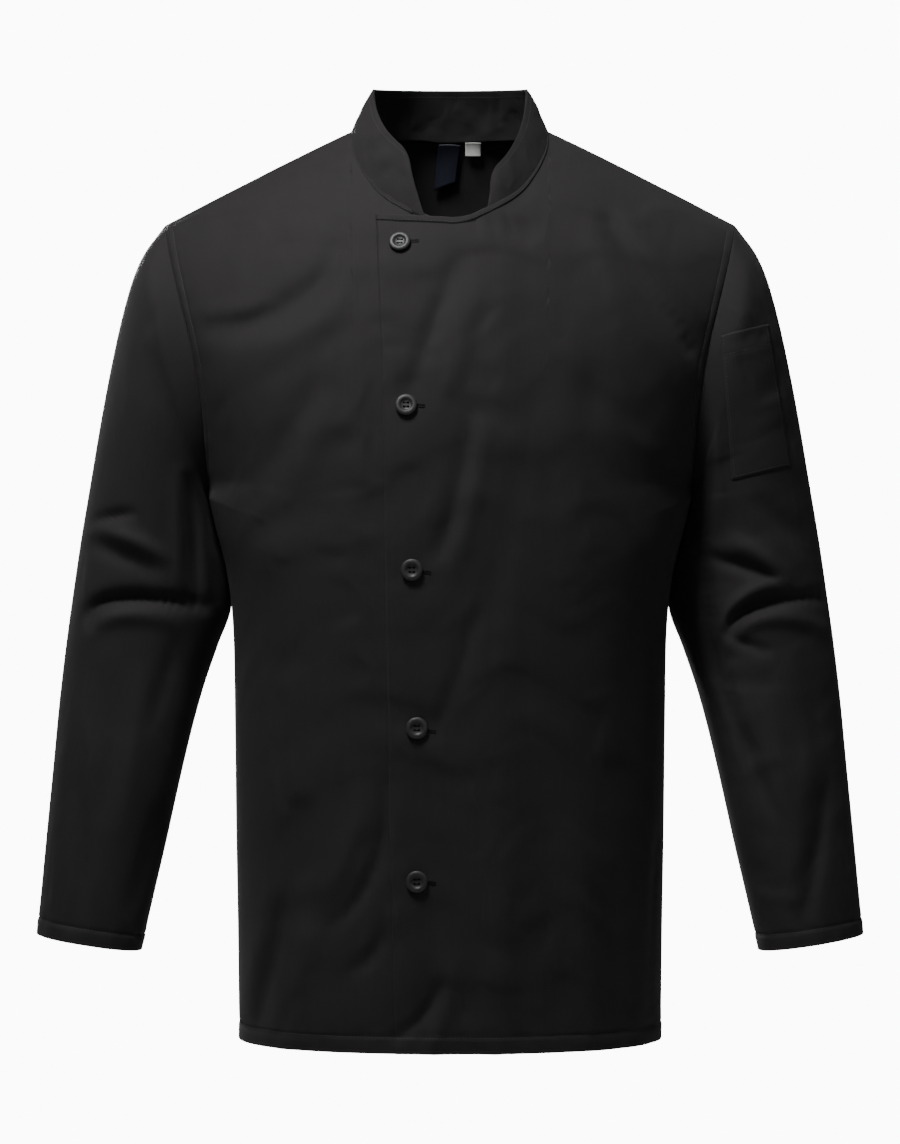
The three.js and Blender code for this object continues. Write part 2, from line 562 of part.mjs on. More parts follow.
function collarGeometry() {
  const atNeck = SHOULDER_COLUMNS; // index of the neck point in the right front and the back
  const right = rightGrid[0].slice(atNeck, atNeck + NECK_COLUMNS).reverse();
  const behind = backGrid[0].slice(atNeck + 1, atNeck + 2 * NECK_COLUMNS).reverse();
  const left = leftGrid[0].slice(LAP_COLUMNS + 2, LAP_COLUMNS + NECK_COLUMNS + 1).reverse();
  const [beyond, within] = [leftGrid[0][LAP_COLUMNS + 1], left.at(-1)];
  const share = (within.x - COLLAR_LEFT_END_X) / (within.x - beyond.x);
  const base = [...right, ...behind, ...left, within.clone().lerp(beyond, share)];
  const grid = [];
  for (let i = 0; i <= COLLAR_ROWS; i++) {
    const v = i / COLLAR_ROWS;
    grid.push(
      base.map((b, j) => {
        const corner = j === 0 ? COLLAR_CORNER.right : j === base.length - 1 ? COLLAR_CORNER.left : 0;
        const top = collarTop(b, corner);
        const foot = b.clone().add(top.clone().sub(b).setLength(SEAM_GAP));
        const out = new THREE.Vector3(top.x, top.y, 0).normalize();
        return top.lerp(foot, v).addScaledVector(out, COLLAR_SWELL * 4 * v * (1 - v));
      }),
    );
  }
  // Its columns run from the right front round the back, so from outside they run to the left.
  grid.forEach((line) => line.reverse());
  return wallGeometry(grid, moved(grid, gridNormals(grid), -COLLAR_WALL));
}

// Flat strip that lies on a panel along its top edge.
function tapeGeometry(grid, from, to) {
  const lines = [0, 1].map((row) =>
    grid[0].slice(from, to).map((p, k) => {
      const below = grid[1][from + k].clone().sub(p);
      return p.clone().add(below.setLength(row * TAPE_WIDTH));
    }),
  );
  const normals = gridNormals(lines);
  return wallGeometry(moved(lines, normals, TAPE_GAP + TAPE_WALL), moved(lines, normals, TAPE_GAP));
}

// Sleeve pocket: a patch between four corners of the sleeve, moved out.
const POCKET_GRID = { rows: 8, columns: 5 };
const POCKET_GAP = 0.5;

// Place on the left sleeve's front with a given x and z: [c, r], by damped Newton steps.
const PLACE_START = [6, 4];
const PLACE_TURNS = 60;
const PLACE_STEP = 0.05;
const PLACE_LAST_ROW = 7;

function sleevePlace([x, z]) {
  let place = PLACE_START;
  for (let turn = 0; turn < PLACE_TURNS; turn++) {
    const p = leftSleeve(...place);
    const dc = leftSleeve(place[0] + PLACE_STEP, place[1]).sub(p).divideScalar(PLACE_STEP);
    const dr = leftSleeve(place[0], place[1] + PLACE_STEP).sub(p).divideScalar(PLACE_STEP);
    const [ex, ez] = [x - p.x, z - p.z];
    const det = dc.x * dr.z - dr.x * dc.z;
    place = [
      clamp(place[0] + (0.5 * (ex * dr.z - dr.x * ez)) / det, 1, ARMHOLE_STEPS - 1),
      clamp(place[1] + (0.5 * (dc.x * ez - ex * dc.z)) / det, 1, PLACE_LAST_ROW),
    ];
  }
  return new THREE.Vector2(...place);
}

function pocketGeometry() {
  const corners = [POCKET.topInner, POCKET.topOuter, POCKET.bottomInner, POCKET.bottomOuter].map(sleevePlace);
  const grid = [];
  for (let i = 0; i <= POCKET_GRID.rows; i++) {
    const line = [];
    for (let j = 0; j <= POCKET_GRID.columns; j++) {
      const [u, v] = [j / POCKET_GRID.columns, i / POCKET_GRID.rows];
      const top = corners[0].clone().lerp(corners[1], u);
      const place = top.lerp(corners[2].clone().lerp(corners[3], u), v);
      line.push(leftSleeve(place.x, place.y));
    }
    grid.push(line);
  }
  const normals = gridNormals(grid);
  return wallGeometry(moved(grid, normals, POCKET_GAP + CLOTH_WALL), moved(grid, normals, POCKET_GAP));
}

// Place on a torso surface with a given x and z: [s, t].
const TORSO_TURNS = 30;

function torsoPlace(surface, x, z) {
  let s = 0;
  let t = 0;
  for (let turn = 0; turn < TORSO_TURNS; turn++) {
    t = solve((v) => z - surface.point(s, v).z, 0, ROWS.at(-1));
    s = solve((v) => surface.point(v, t).x - x, -1, 1);
  }
  return [s, t];
}

// Bare label inside the back of the neck, hanging from the collar seam.
const LABEL_PROBE_Z = -10; // near the seam, where its column is looked up

function labelGeometry({ x, width, height, wall }) {
  const grid = [0, 0.5, 1].map((v) =>
    [0, 0.5, 1].map((u) => {
      const across = x + width * (u - 0.5);
      const [s] = torsoPlace(back, across, LABEL_PROBE_Z);
      const top = back.point(s, neckRow(back, s)).z - LABEL_TOP_DROP;
      const place = torsoPlace(back, across, top - height * v);
      return back.point(...place).addScaledVector(backNormal(...place), -CLOTH_WALL - LABEL_GAP);
    }),
  );
  return wallGeometry(moved(grid, gridNormals(grid), wall), grid);
}

// Four-hole button with a raised rim, lying on the lap.
const BUTTON_GAP = 0.6;
const BUTTON_EDGE = 0.7;
const BUTTON_SIDES = 20;
const HOLE_SIDES = 6;

function asSolid(geometry) {
  const bare = geometry.clone();
  bare.deleteAttribute("normal");
  bare.deleteAttribute("uv");
  const merged = mergeVertices(bare, 1e-4);
  return new wasm.Manifold(
    new wasm.Mesh({
      numProp: 3,
      vertProperties: merged.attributes.position.array,
      triVerts: new Uint32Array(merged.index.array),
    }),
  );
}

function asGeometry(solid) {
  const { vertProperties, triVerts } = solid.getMesh();
  const geometry = new THREE.BufferGeometry();
  geometry.setAttribute("position", new THREE.Float32BufferAttribute(vertProperties, 3));
  geometry.setIndex(Array.from(triVerts));
  geometry.computeVertexNormals();
  return geometry;
}

function buttonGeometry() {
  const { radius, height, rimWidth, dish, holeRadius, holeOffset } = BUTTON;
  const edge = BUTTON_EDGE;
  const profile = [
    [0, 0],
    [radius - 2 * edge, 0],
    [radius, 2 * edge],
    [radius, height - edge],
    [radius - edge, height],
    [radius - rimWidth, height],
    [radius - rimWidth - edge, height - dish],
    [0, height - dish],
  ].map(([r, y]) => new THREE.Vector2(r, y));
  let solid = asSolid(new THREE.LatheGeometry(profile, BUTTON_SIDES));
  for (const [x, z] of [[1, 1], [1, -1], [-1, 1], [-1, -1]]) {
    const hole = new THREE.CylinderGeometry(holeRadius, holeRadius, 4 * height, HOLE_SIDES);
    hole.translate(x * holeOffset, 0, z * holeOffset);
    solid = solid.subtract(asSolid(hole));
  }
  return asGeometry(solid);
}

// The button turned to stand on the left front, at a place in the front view.
function buttonMesh({ x, z }, name) {
  const [s, t] = torsoPlace(front, x, z);
  const normal = frontNormal(s, t);
  const mesh = named(name, buttonGeometry(), BUTTON_FINISH);
  mesh.quaternion.setFromUnitVectors(new THREE.Vector3(0, 1, 0), normal);
  mesh.position.copy(front.point(s, t).addScaledVector(normal, lapRise(x) + BUTTON_GAP));
  return mesh;
}

const finish = (color, roughness) => new THREE.MeshStandardMaterial({ color, roughness, metalness: 0 });
const CLOTH_FINISH = [0x262425, 0.85];
const COLLAR_FINISH = [0x2b292a, 0.85];
const BUTTON_FINISH = [0x2a2a2c, 0.35];
const LABEL_FINISH = [0x161a2b, 0.7];
const TAG_FINISH = [0xb9b8b6, 0.8];

function named(name, geometry, [color, roughness]) {
  const mesh = new THREE.Mesh(geometry, finish(color, roughness));
  mesh.name = name;
  return mesh;
}

const NECK_POINT_LEFT = LAP_COLUMNS + NECK_COLUMNS + 1;
const jacket = new THREE.Group();
jacket.add(
  named("front_left", leftFront, CLOTH_FINISH),
  named("front_right", rightFront, CLOTH_FINISH),
  named("back", backPanel, CLOTH_FINISH),
  named("sleeve_left", sleeveGeometry(leftSleeve, 1), CLOTH_FINISH),
  named("sleeve_right", sleeveGeometry(rightSleeve, -1), CLOTH_FINISH),
  named("collar", collarGeometry(), COLLAR_FINISH),
  named("neck_tape_left", tapeGeometry(leftGrid, 0, NECK_POINT_LEFT), COLLAR_FINISH),
  named("neck_tape_right", tapeGeometry(rightGrid, SHOULDER_COLUMNS, SHOULDER_COLUMNS + NECK_COLUMNS - 1), COLLAR_FINISH),
  named("sleeve_pocket", pocketGeometry(), CLOTH_FINISH),
  named("neck_label", labelGeometry(LABEL), LABEL_FINISH),
  named("size_tag", labelGeometry(SIZE_TAG), TAG_FINISH),
);
BUTTON_PLACES.forEach((place, i) => jacket.add(buttonMesh(place, `button_${i + 1}`)));

export default jacket;
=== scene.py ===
"""Chef jacket in black twill, filled out as it is worn with nobody in it.

Every surface is a function of two parameters on a numpy grid. The tables hold millimetres in the
jacket's own frame (+Z up, front to -Y, wearer's left to +X, origin in the middle of the neck), and
the meshes are made in metres.
"""

import logging
import math
from dataclasses import dataclass, field
from enum import Enum
from typing import Callable, Sequence

import bpy
import numpy as np
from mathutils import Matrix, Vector


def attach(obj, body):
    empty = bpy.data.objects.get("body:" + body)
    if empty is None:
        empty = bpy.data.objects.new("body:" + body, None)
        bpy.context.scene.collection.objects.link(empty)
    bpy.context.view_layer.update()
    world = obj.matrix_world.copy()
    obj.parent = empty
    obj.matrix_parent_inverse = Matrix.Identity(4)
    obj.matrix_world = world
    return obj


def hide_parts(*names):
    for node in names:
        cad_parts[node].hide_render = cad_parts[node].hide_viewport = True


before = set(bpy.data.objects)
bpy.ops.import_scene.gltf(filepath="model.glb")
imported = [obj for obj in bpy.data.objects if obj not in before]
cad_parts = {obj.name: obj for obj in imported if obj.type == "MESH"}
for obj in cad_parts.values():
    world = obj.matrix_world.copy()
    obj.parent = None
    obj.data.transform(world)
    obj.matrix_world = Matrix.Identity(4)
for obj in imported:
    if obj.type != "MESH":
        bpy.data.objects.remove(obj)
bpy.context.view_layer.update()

LOG = logging.getLogger("chef_jacket")
MM = 0.001
Grid = np.ndarray


class Side(Enum):
    """Which of the wearer's sides a piece is on; the value is the sign of its x."""

    LEFT = 1
    RIGHT = -1


class Half(Enum):
    """Front or back half of the torso; the value is the sign of its y."""

    FRONT = -1
    BACK = 1


# Torso sections from the shoulder ridge to the hem. side_* is where the half ends (armhole, then
# side seam), mid_* is [y, z] on the centre line, turn the share of a quarter turn it makes.
UNDERARM = 8
SECTION_COLUMNS = ("side_front", "side_back", "mid_front", "mid_back", "turn")
SECTIONS = [
    ((242, 5, -80.5), (242, 5, -80.5), (0, 24), (0, 24), 0.7),
    ((240, -17, -91), (241, 27, -91), (-40, -24), (42, 20), 0.72),
    ((234, -36, -117), (237, 48, -117), (-77, -82), (76, 0), 0.76),
    ((225, -51, -152), (231, 62, -155), (-101, -135), (95, -50), 0.8),
    ((215, -59, -192), (224, 70, -197), (-118, -190), (107, -105), 0.84),
    ((208, -56, -235), (217, 69, -240), (-128, -243), (115, -165), 0.88),
    ((205.5, -43, -272), (211, 55, -276), (-133, -290), (120, -225), 0.92),
    ((204.5, -24, -299), (207, 30, -301), (-135.5, -332), (122, -282), 0.96),
    ((205, 0, -312), (205, 0, -312), (-136.5, -370), (121, -335), 1),
    ((198, 0, -340), (198, 0, -340), (-136.5, -411), (117, -385), 1),
    ((188.5, 0, -378), (188.5, 0, -378), (-136, -455), (112, -435), 1),
    ((183.5, 0, -425), (183.5, 0, -425), (-135, -505), (108, -490), 1),
    ((182, 0, -505), (182, 0, -505), (-134, -565), (109, -555), 1),
    ((181, 0, -592), (181, 0, -592), (-134, -630), (112, -622), 1),
    ((179.5, 0, -681), (179.5, 0, -681), (-134.5, -699), (116, -695), 1),
    ((178.5, 0, -769), (178.5, 0, -769), (-135, -769), (120, -769), 1),
]
LAST_ROW = len(SECTIONS) - 1
BODY_ROUNDNESS = 2.4
RIDGE_SOFTNESS = 0.2

# Left sleeve sections below the armhole: outer and inner ends [x, z], reach to the front and the
# back, and how far the inner end lies behind the middle.
SLEEVE_SECTIONS = [
    ((257, -101), (204.8, -316), -63, 76, 4),
    ((268.5, -125), (203.2, -322), -65, 77, 9),
    ((279, -162), (200.4, -330), -65, 76, 13),
    ((288.5, -206), (197.2, -341), -64, 73, 17),
    ((297, -252), (193, -357), -63, 69, 20),
    ((305, -300), (187.8, -378), -62, 66, 23),
    ((313, -348), (188, -408), -61, 63, 22),
    ((319.5, -393), (198.5, -438), -60, 59, 15),
    ((325.5, -438), (210, -473), -59, 54, 8),
    ((331, -488), (219.5, -509), -60, 48, 3),
    ((335.5, -540), (229.5, -553), -62, 41, 0),
    ((340, -590), (240.5, -604), -64, 34, 0),
    ((344, -636), (251, -650), -66, 28, 0),
    ((348, -680), (261, -694), -67, 24, 0),
]
SLEEVE_LAST = len(SLEEVE_SECTIONS)
SLEEVE_ROUNDNESS = 2.2
SLEEVE_REACH = {Half.FRONT: 61, Half.BACK: 68}

# Folds, as (start, middle, end, width, depth): a soft crease along a bent line in the front view,
# in [x, z]. Depth over 0 is a trough, under 0 a ridge.
FRONT_FOLDS = [
    ((-92, -100), (-121, -150), (-187, -172), 11.7, 4.2),
    ((-150, -152), (-172, -158), (-205, -160), 8.1, -2.1),
    ((-88, -128), (-112, -170), (-178, -192), 13.5, -2.3),
    ((-110, -225), (-132, -259), (-146, -286), 11.7, 3.1),
    ((-92, -236), (-112, -270), (-128, -300), 12.6, -1.8),
    ((131, -84), (153, -120), (205, -195), 8.1, 4.7),
    ((148, -80), (172, -112), (214, -170), 9.9, -3.1),
    ((118, -98), (138, -140), (186, -212), 11.7, -2.6),
    ((6, -120), (-12, -169), (-31, -224), 9, 3),
    ((22, -130), (10, -186), (-6, -236), 10, -2.2),
    ((15, -261), (2, -329), (-11, -362), 8.2, 3),
    ((28, -270), (16, -325), (4, -372), 8.1, -2.1),
    ((24, -400), (8, -455), (-8, -496), 7.2, 2),
    ((52, -300), (40, -372), (30, -430), 14.4, 2.3),
    ((114, -217), (116, -233), (118, -248), 14.4, 3.4),
    ((96, -262), (104, -320), (110, -372), 16.2, -2.1),
    ((196, -186), (201, -191), (205, -196), 6.3, 2.6),
    ((176, -283), (184, -290), (191, -299), 7.2, 3.1),
    ((150, -262), (168, -276), (186, -282), 8.1, -1.8),
    ((20, -84), (21, -90), (23, -99), 2.3, 1),
    ((33, -81), (35, -88), (38, -98), 2.2, 1),
    ((46, -78), (48, -84), (52, -93), 2.2, 0.9),
    ((-139, -660), (-146, -703), (-160, -752), 8.1, 6),
    ((-152, -650), (-164, -700), (-170, -740), 7.2, -2.9),
    ((-118, -668), (-124, -712), (-134, -756), 9, -3.1),
    ((-125, -585), (-126, -628), (-128, -660), 13.5, 3.9),
    ((-128, -728), (-134, -744), (-143, -764), 5.4, 2.3),
    ((-52, -560), (-62, -619), (-92, -662), 6.3, 3.6),
    ((-74, -570), (-88, -616), (-112, -640), 9.9, -2.6),
    ((-54, -668), (-62, -687), (-76, -700), 6.3, 2.9),
    ((-8, -716), (-23, -739), (-42, -754), 6.3, 3.1),
    ((4, -700), (-2, -730), (-14, -762), 8.1, -2.1),
    ((70, -560), (80, -640), (92, -740), 18, 3.4),
    ((104, -590), (112, -660), (120, -745), 13.5, -2.9),
    ((130, -640), (134, -700), (136, -762), 10.8, 2.9),
    ((40, -610), (44, -680), (40, -758), 13.5, -2.1),
    ((-165, -360), (-150, -440), (-140, -520), 15.3, 2.1),
    ((160, -380), (150, -460), (148, -540), 14.4, 2.3),
    ((-20, -640), (-14, -690), (-18, -740), 10.8, 1.6),
    ((180, -582), (170, -640), (167, -762), 4, 4.7),
]
BACK_FOLDS = [
    ((-205, -172), (-150, -222), (-95, -262), 11.9, 6.5),
    ((-198, -204), (-150, -250), (-112, -276), 10.2, -3.8),
    ((208, -176), (158, -232), (108, -288), 11, 6.2),
    ((200, -148), (160, -196), (118, -226), 10.2, -3.1),
    ((-60, -420), (-48, -520), (-46, -610), 17, 6.9),
    ((-28, -440), (-18, -540), (-16, -620), 13.6, -4),
    ((66, -390), (76, -480), (84, -570), 15.3, 6.2),
    ((104, -420), (112, -500), (114, -580), 12.8, -3.8),
    ((-112, -590), (-122, -680), (-130, -760), 12.8, 6.9),
    ((-88, -610), (-92, -690), (-92, -764), 11, -3.8),
    ((118, -560), (112, -660), (104, -745), 12.8, 5.6),
    ((22, -620), (26, -700), (28, -764), 12.8, 4),
    ((0, -60), (2, -150), (-3, -240), 15.3, 2.5),
    ((-150, -330), (-156, -400), (-150, -470), 11.9, 4),
    ((158, -330), (160, -390), (152, -450), 11, 3.8),
    ((-48, -640), (-50, -700), (-54, -762), 9.3, 3.1),
    ((152, -620), (150, -690), (146, -762), 10.2, -3.1),
]
LEFT_SLEEVE_FOLDS = [
    ((216, -362), (246, -371), (272, -381), 6, 6.2),
    ((240, -350), (259, -362), (276, -376), 6.8, -4),
    ((276, -384), (246, -397), (228, -424), 4.2, -4.5),
    ((236, -420), (257, -404), (313, -396), 6, 8.8),
    ((238, -430), (270, -414), (318, -424), 6, -4.2),
    ((233, -428), (246, -435), (262, -441), 5.1, 3.8),
    ((205, -300), (214, -380), (222, -452), 7.6, 5.2),
    ((226, -432), (230, -470), (248, -520), 6.8, 4),
    ((249, -517), (256, -541), (268, -572), 6.8, 4.2),
    ((270, -500), (278, -540), (284, -580), 10.2, -2.5),
    ((315, -548), (307, -604), (296, -660), 7.6, 4.5),
    ((300, -520), (292, -580), (284, -640), 8.5, -2.2),
    ((228, -143), (237, -146), (247, -150), 3.4, 2.2),
    ((226, -152), (238, -155), (250, -160), 4.2, -2),
    ((240, -196), (246, -207), (251, -222), 3.4, 1.2),
    ((262, -320), (276, -334), (290, -350), 8.5, 3),
    ((218, -240), (222, -280), (224, -330), 8.5, -2.8),
    ((296, -455), (306, -490), (310, -530), 8.5, 2.5),
]
RIGHT_SLEEVE_FOLDS = [
    ((-300, -334), (-283, -329), (-268, -327), 4.2, 4.2),
    ((-296, -340), (-269, -348), (-244, -361), 6.8, -5.2),
    ((-298, -352), (-276, -362), (-252, -372), 7.6, 3),
    ((-302, -416), (-281, -399), (-220, -402), 6.8, 9),
    ((-298, -424), (-276, -412), (-236, -416), 7.6, -3.8),
    ((-219, -306), (-216, -353), (-213, -396), 6, 6.5),
    ((-228, -300), (-228, -345), (-226, -384), 6, -3.2),
    ((-197, -270), (-196, -330), (-195, -390), 4.2, 4.5),
    ((-206, -262), (-206, -320), (-204, -380), 5.1, -3),
    ((-246, -580), (-254, -616), (-264, -650), 7.6, 4.2),
    ((-222, -300), (-232, -250), (-244, -206), 10.2, 3),
    ((-250, -168), (-238, -150), (-226, -138), 5.1, 2),
    ((-288, -470), (-284, -520), (-290, -570), 11, 3),
    ((-258, -470), (-262, -520), (-272, -580), 10.2, -2.5),
    ((-310, -560), (-306, -610), (-310, -660), 8.5, 2.8),
    ((-232, -440), (-240, -470), (-250, -500), 7.6, 3),
]
SLEEVE_BACK_FOLDS = [
    ((232, -396), (272, -374), (318, -372), 7.6, 6.2),
    ((236, -372), (270, -352), (306, -350), 7.6, -3.8),
    ((214, -246), (248, -268), (282, -304), 10.2, 5),
    ((222, -290), (250, -312), (276, -340), 8.5, -3),
    ((262, -566), (292, -548), (326, -520), 8.5, 4.5),
    ((248, -470), (262, -500), (268, -540), 10.2, 3.5),
    ((300, -600), (304, -640), (306, -670), 7.6, 3),
    ((226, -150), (246, -176), (262, -214), 7.6, 2.8),
]

# Free edge of the left front, [z, x] going down, and its nearly level top.
LAP_EDGE = [(-79, -61.5), (-235, -54.5), (-374, -52.5), (-564, -49), (-769, -44.3)]
LAP_TOP_Z = -82
LAP_TOP_RISE = 3
LAP_HIDDEN_X = 40
LAP_EASE = 26

NECK_HALF_WIDTH = 83
NECK_DEPTH = {Half.FRONT: 77, Half.BACK: 75}

# Corners in the front view, [x, z]: the two upper ones, then the two lower ones.
LABEL_CORNERS = [(-9.9, -2.6), (9.8, -3.3), (-14.4, -42.2), (5.2, -35.3)]
TAG_CORNERS = [(13.6, -1.2), (27.4, -1.2), (13.6, -12.4), (27.4, -12.4)]

BUTTON_PLACES = [(-41.3, -104), (-35.9, -240), (-31, -374), (-27, -503), (-27, -628)]


def row_curve(points: Grid, rows: Grid) -> Grid:
    """Smooth curve through points one row apart: on each span the cubic whose slopes at its two
    ends are half the chord between the neighbours, the end points being carried straight on.

    Args:
        points: array (K, ..., D).
        rows: fractional rows, any shape that broadcasts with the points' middle axes.

    Returns:
        The points at those rows.
    """
    first = 2 * points[:1] - points[1:2]
    last = 2 * points[-1:] - points[-2:-1]
    padded = np.concatenate([first, points, last])
    rows = np.clip(rows, 0, len(points) - 1)
    low = np.clip(np.floor(rows).astype(int), 0, len(points) - 2)
    w = (rows - low)[..., None]
    if points.ndim == 2:
        p0, p1, p2, p3 = (padded[low + k] for k in range(4))
    else:
        column = np.arange(points.shape[1])[None, :]
        p0, p1, p2, p3 = (padded[low + k, column] for k in range(4))
    a, b = (p2 - p0) / 2, (p3 - p1) / 2
    return p1 + a * w + (3 * (p2 - p1) - 2 * a - b) * w**2 + (2 * (p1 - p2) + a + b) * w**3


def smoothstep(v: Grid, low: float, high: float) -> Grid:
    """0 below low, 1 above high, and an S curve between."""
    u = np.clip((v - low) / (high - low), 0, 1)
    return u * u * (3 - 2 * u)


def bell(gap: Grid, width: float) -> Grid:
    """1 at no distance, falling on both sides as a Gaussian that passes 1 / e at the width."""
    return np.exp(-((gap / width) ** 2))


def unit(vectors: Grid) -> Grid:
    """The vectors along the last axis, each one unit long."""
    return vectors / np.linalg.norm(vectors, axis=-1, keepdims=True)


def spread(corners: Sequence[tuple[float, float]], rows: int, columns: int) -> Grid:
    """A grid of values that run evenly between those of its two upper and two lower corners."""
    u = np.linspace(0, 1, columns)[None, :, None]
    v = np.linspace(0, 1, rows)[:, None, None]
    a, b, c, d = np.asarray(corners, float)
    return (a * (1 - u) + b * u) * (1 - v) + (c * (1 - u) + d * u) * v


FOLD_OVERRUN = 0.12
FOLD_SAMPLES = 26
FOLD_EDGE = 0.86
CRUMPLE_WAVES = 7
CRUMPLE_SPREAD = 2.6
ARMHOLE_MIDDLE_Y = 2
SIDE_BLEND = (0.02, 0.45)
TORSO_CRUMPLE = (78, 0.75)
SLEEVE_CRUMPLE = (62, 0.5)
UNDERARM_EASE = 0.75
UNDERARM_STEP = 0.9
UNDERARM_REACH = 1.5


def bisect(beyond: Callable[[Grid], Grid], low: Grid, high: Grid, steps: int = 34) -> Grid:
    """Halves the spans between low and high until they are tiny.

    Args:
        beyond: says of middle values whether the wanted ones lie below them.
        low, high: ends of the first spans.
        steps: number of halvings.

    Returns:
        The wanted values.
    """
    for _ in range(steps):
        half = (low + high) / 2
        below = beyond(half)
        low, high = np.where(below, low, half), np.where(below, half, high)
    return (low + high) / 2


def fold_depth(folds: Sequence[tuple], x: Grid, z: Grid) -> Grid:
    """Sum of the folds at each place: each is its depth times a bell over the distance from its
    bent line, which is a parabola through its three points, fading towards both ends.

    Args:
        folds: rows of the fold tables.
        x, z: places in the front view, millimetres.

    Returns:
        Depth inwards, millimetres.
    """
    total = np.zeros_like(x)
    share = np.linspace(-FOLD_OVERRUN, 1 + FOLD_OVERRUN, FOLD_SAMPLES)
    fade = np.sqrt(np.clip(np.sin(np.pi * (share + FOLD_OVERRUN) / (1 + 2 * FOLD_OVERRUN)), 0, 1))
    for start, middle, end, width, depth in folds:
        p0, p1, p2 = (np.array(p, float) for p in (start, middle, end))
        bend = 2 * p1 - (p0 + p2) / 2
        u = share[:, None]
        line = (1 - u) ** 2 * p0 + 2 * u * (1 - u) * bend + u**2 * p2
        low, high = line.min(0) - 3 * width, line.max(0) + 3 * width
        near = (x > low[0]) & (x < high[0]) & (z > low[1]) & (z < high[1])
        if not near.any():
            continue
        gap = np.hypot(x[near][:, None] - line[:, 0], z[near][:, None] - line[:, 1])
        total[near] += depth * (fade * bell(gap, width)).max(axis=1)
    return total


def crumple(p: Grid, seed: int, length: float, depth: float) -> Grid:
    """Slight unevenness of pressed cloth: a sum of sine waves in fixed random directions, each
    bent by the one before it.

    Args:
        p: points (..., 3) in millimetres.
        seed: seed of the directions.
        length: typical wavelength, millimetres.
        depth: typical height, millimetres.

    Returns:
        Height at each point.
    """
    rng = np.random.default_rng(seed)
    total = np.zeros(p.shape[:-1])
    bend = np.zeros_like(total)
    for _ in range(CRUMPLE_WAVES):
        way = rng.normal(size=3)
        way /= np.linalg.norm(way)
        wave = 2 * math.pi / (length * rng.uniform(0.6, 1.7))
        bend = np.sin(p @ way * wave + rng.uniform(0, 2 * math.pi) + 1.3 * bend)
        total += bend
    return total * depth / CRUMPLE_SPREAD


def grid_normals(grid: Grid, wrap: bool = False) -> Grid:
    """Unit normals out of the side that sees rows run down and columns run right: the cross
    product of the step down and the step across."""
    across = np.gradient(grid, axis=1)
    if wrap:
        across = np.roll(grid, -1, axis=1) - np.roll(grid, 1, axis=1)
    normal = np.cross(np.gradient(grid, axis=0), across)
    return normal / np.maximum(np.linalg.norm(normal, axis=-1, keepdims=True), 1e-9)


FINE_ROWS = np.linspace(0, LAST_ROW, 4 * LAST_ROW + 1)


def soften(values: Grid) -> Grid:
    """The values with each inner one a quarter of the way to its neighbours' mean."""
    mixed = values.copy()
    mixed[1:-1] = values[1:-1] * 0.75 + (values[:-2] + values[2:]) * 0.125
    return mixed


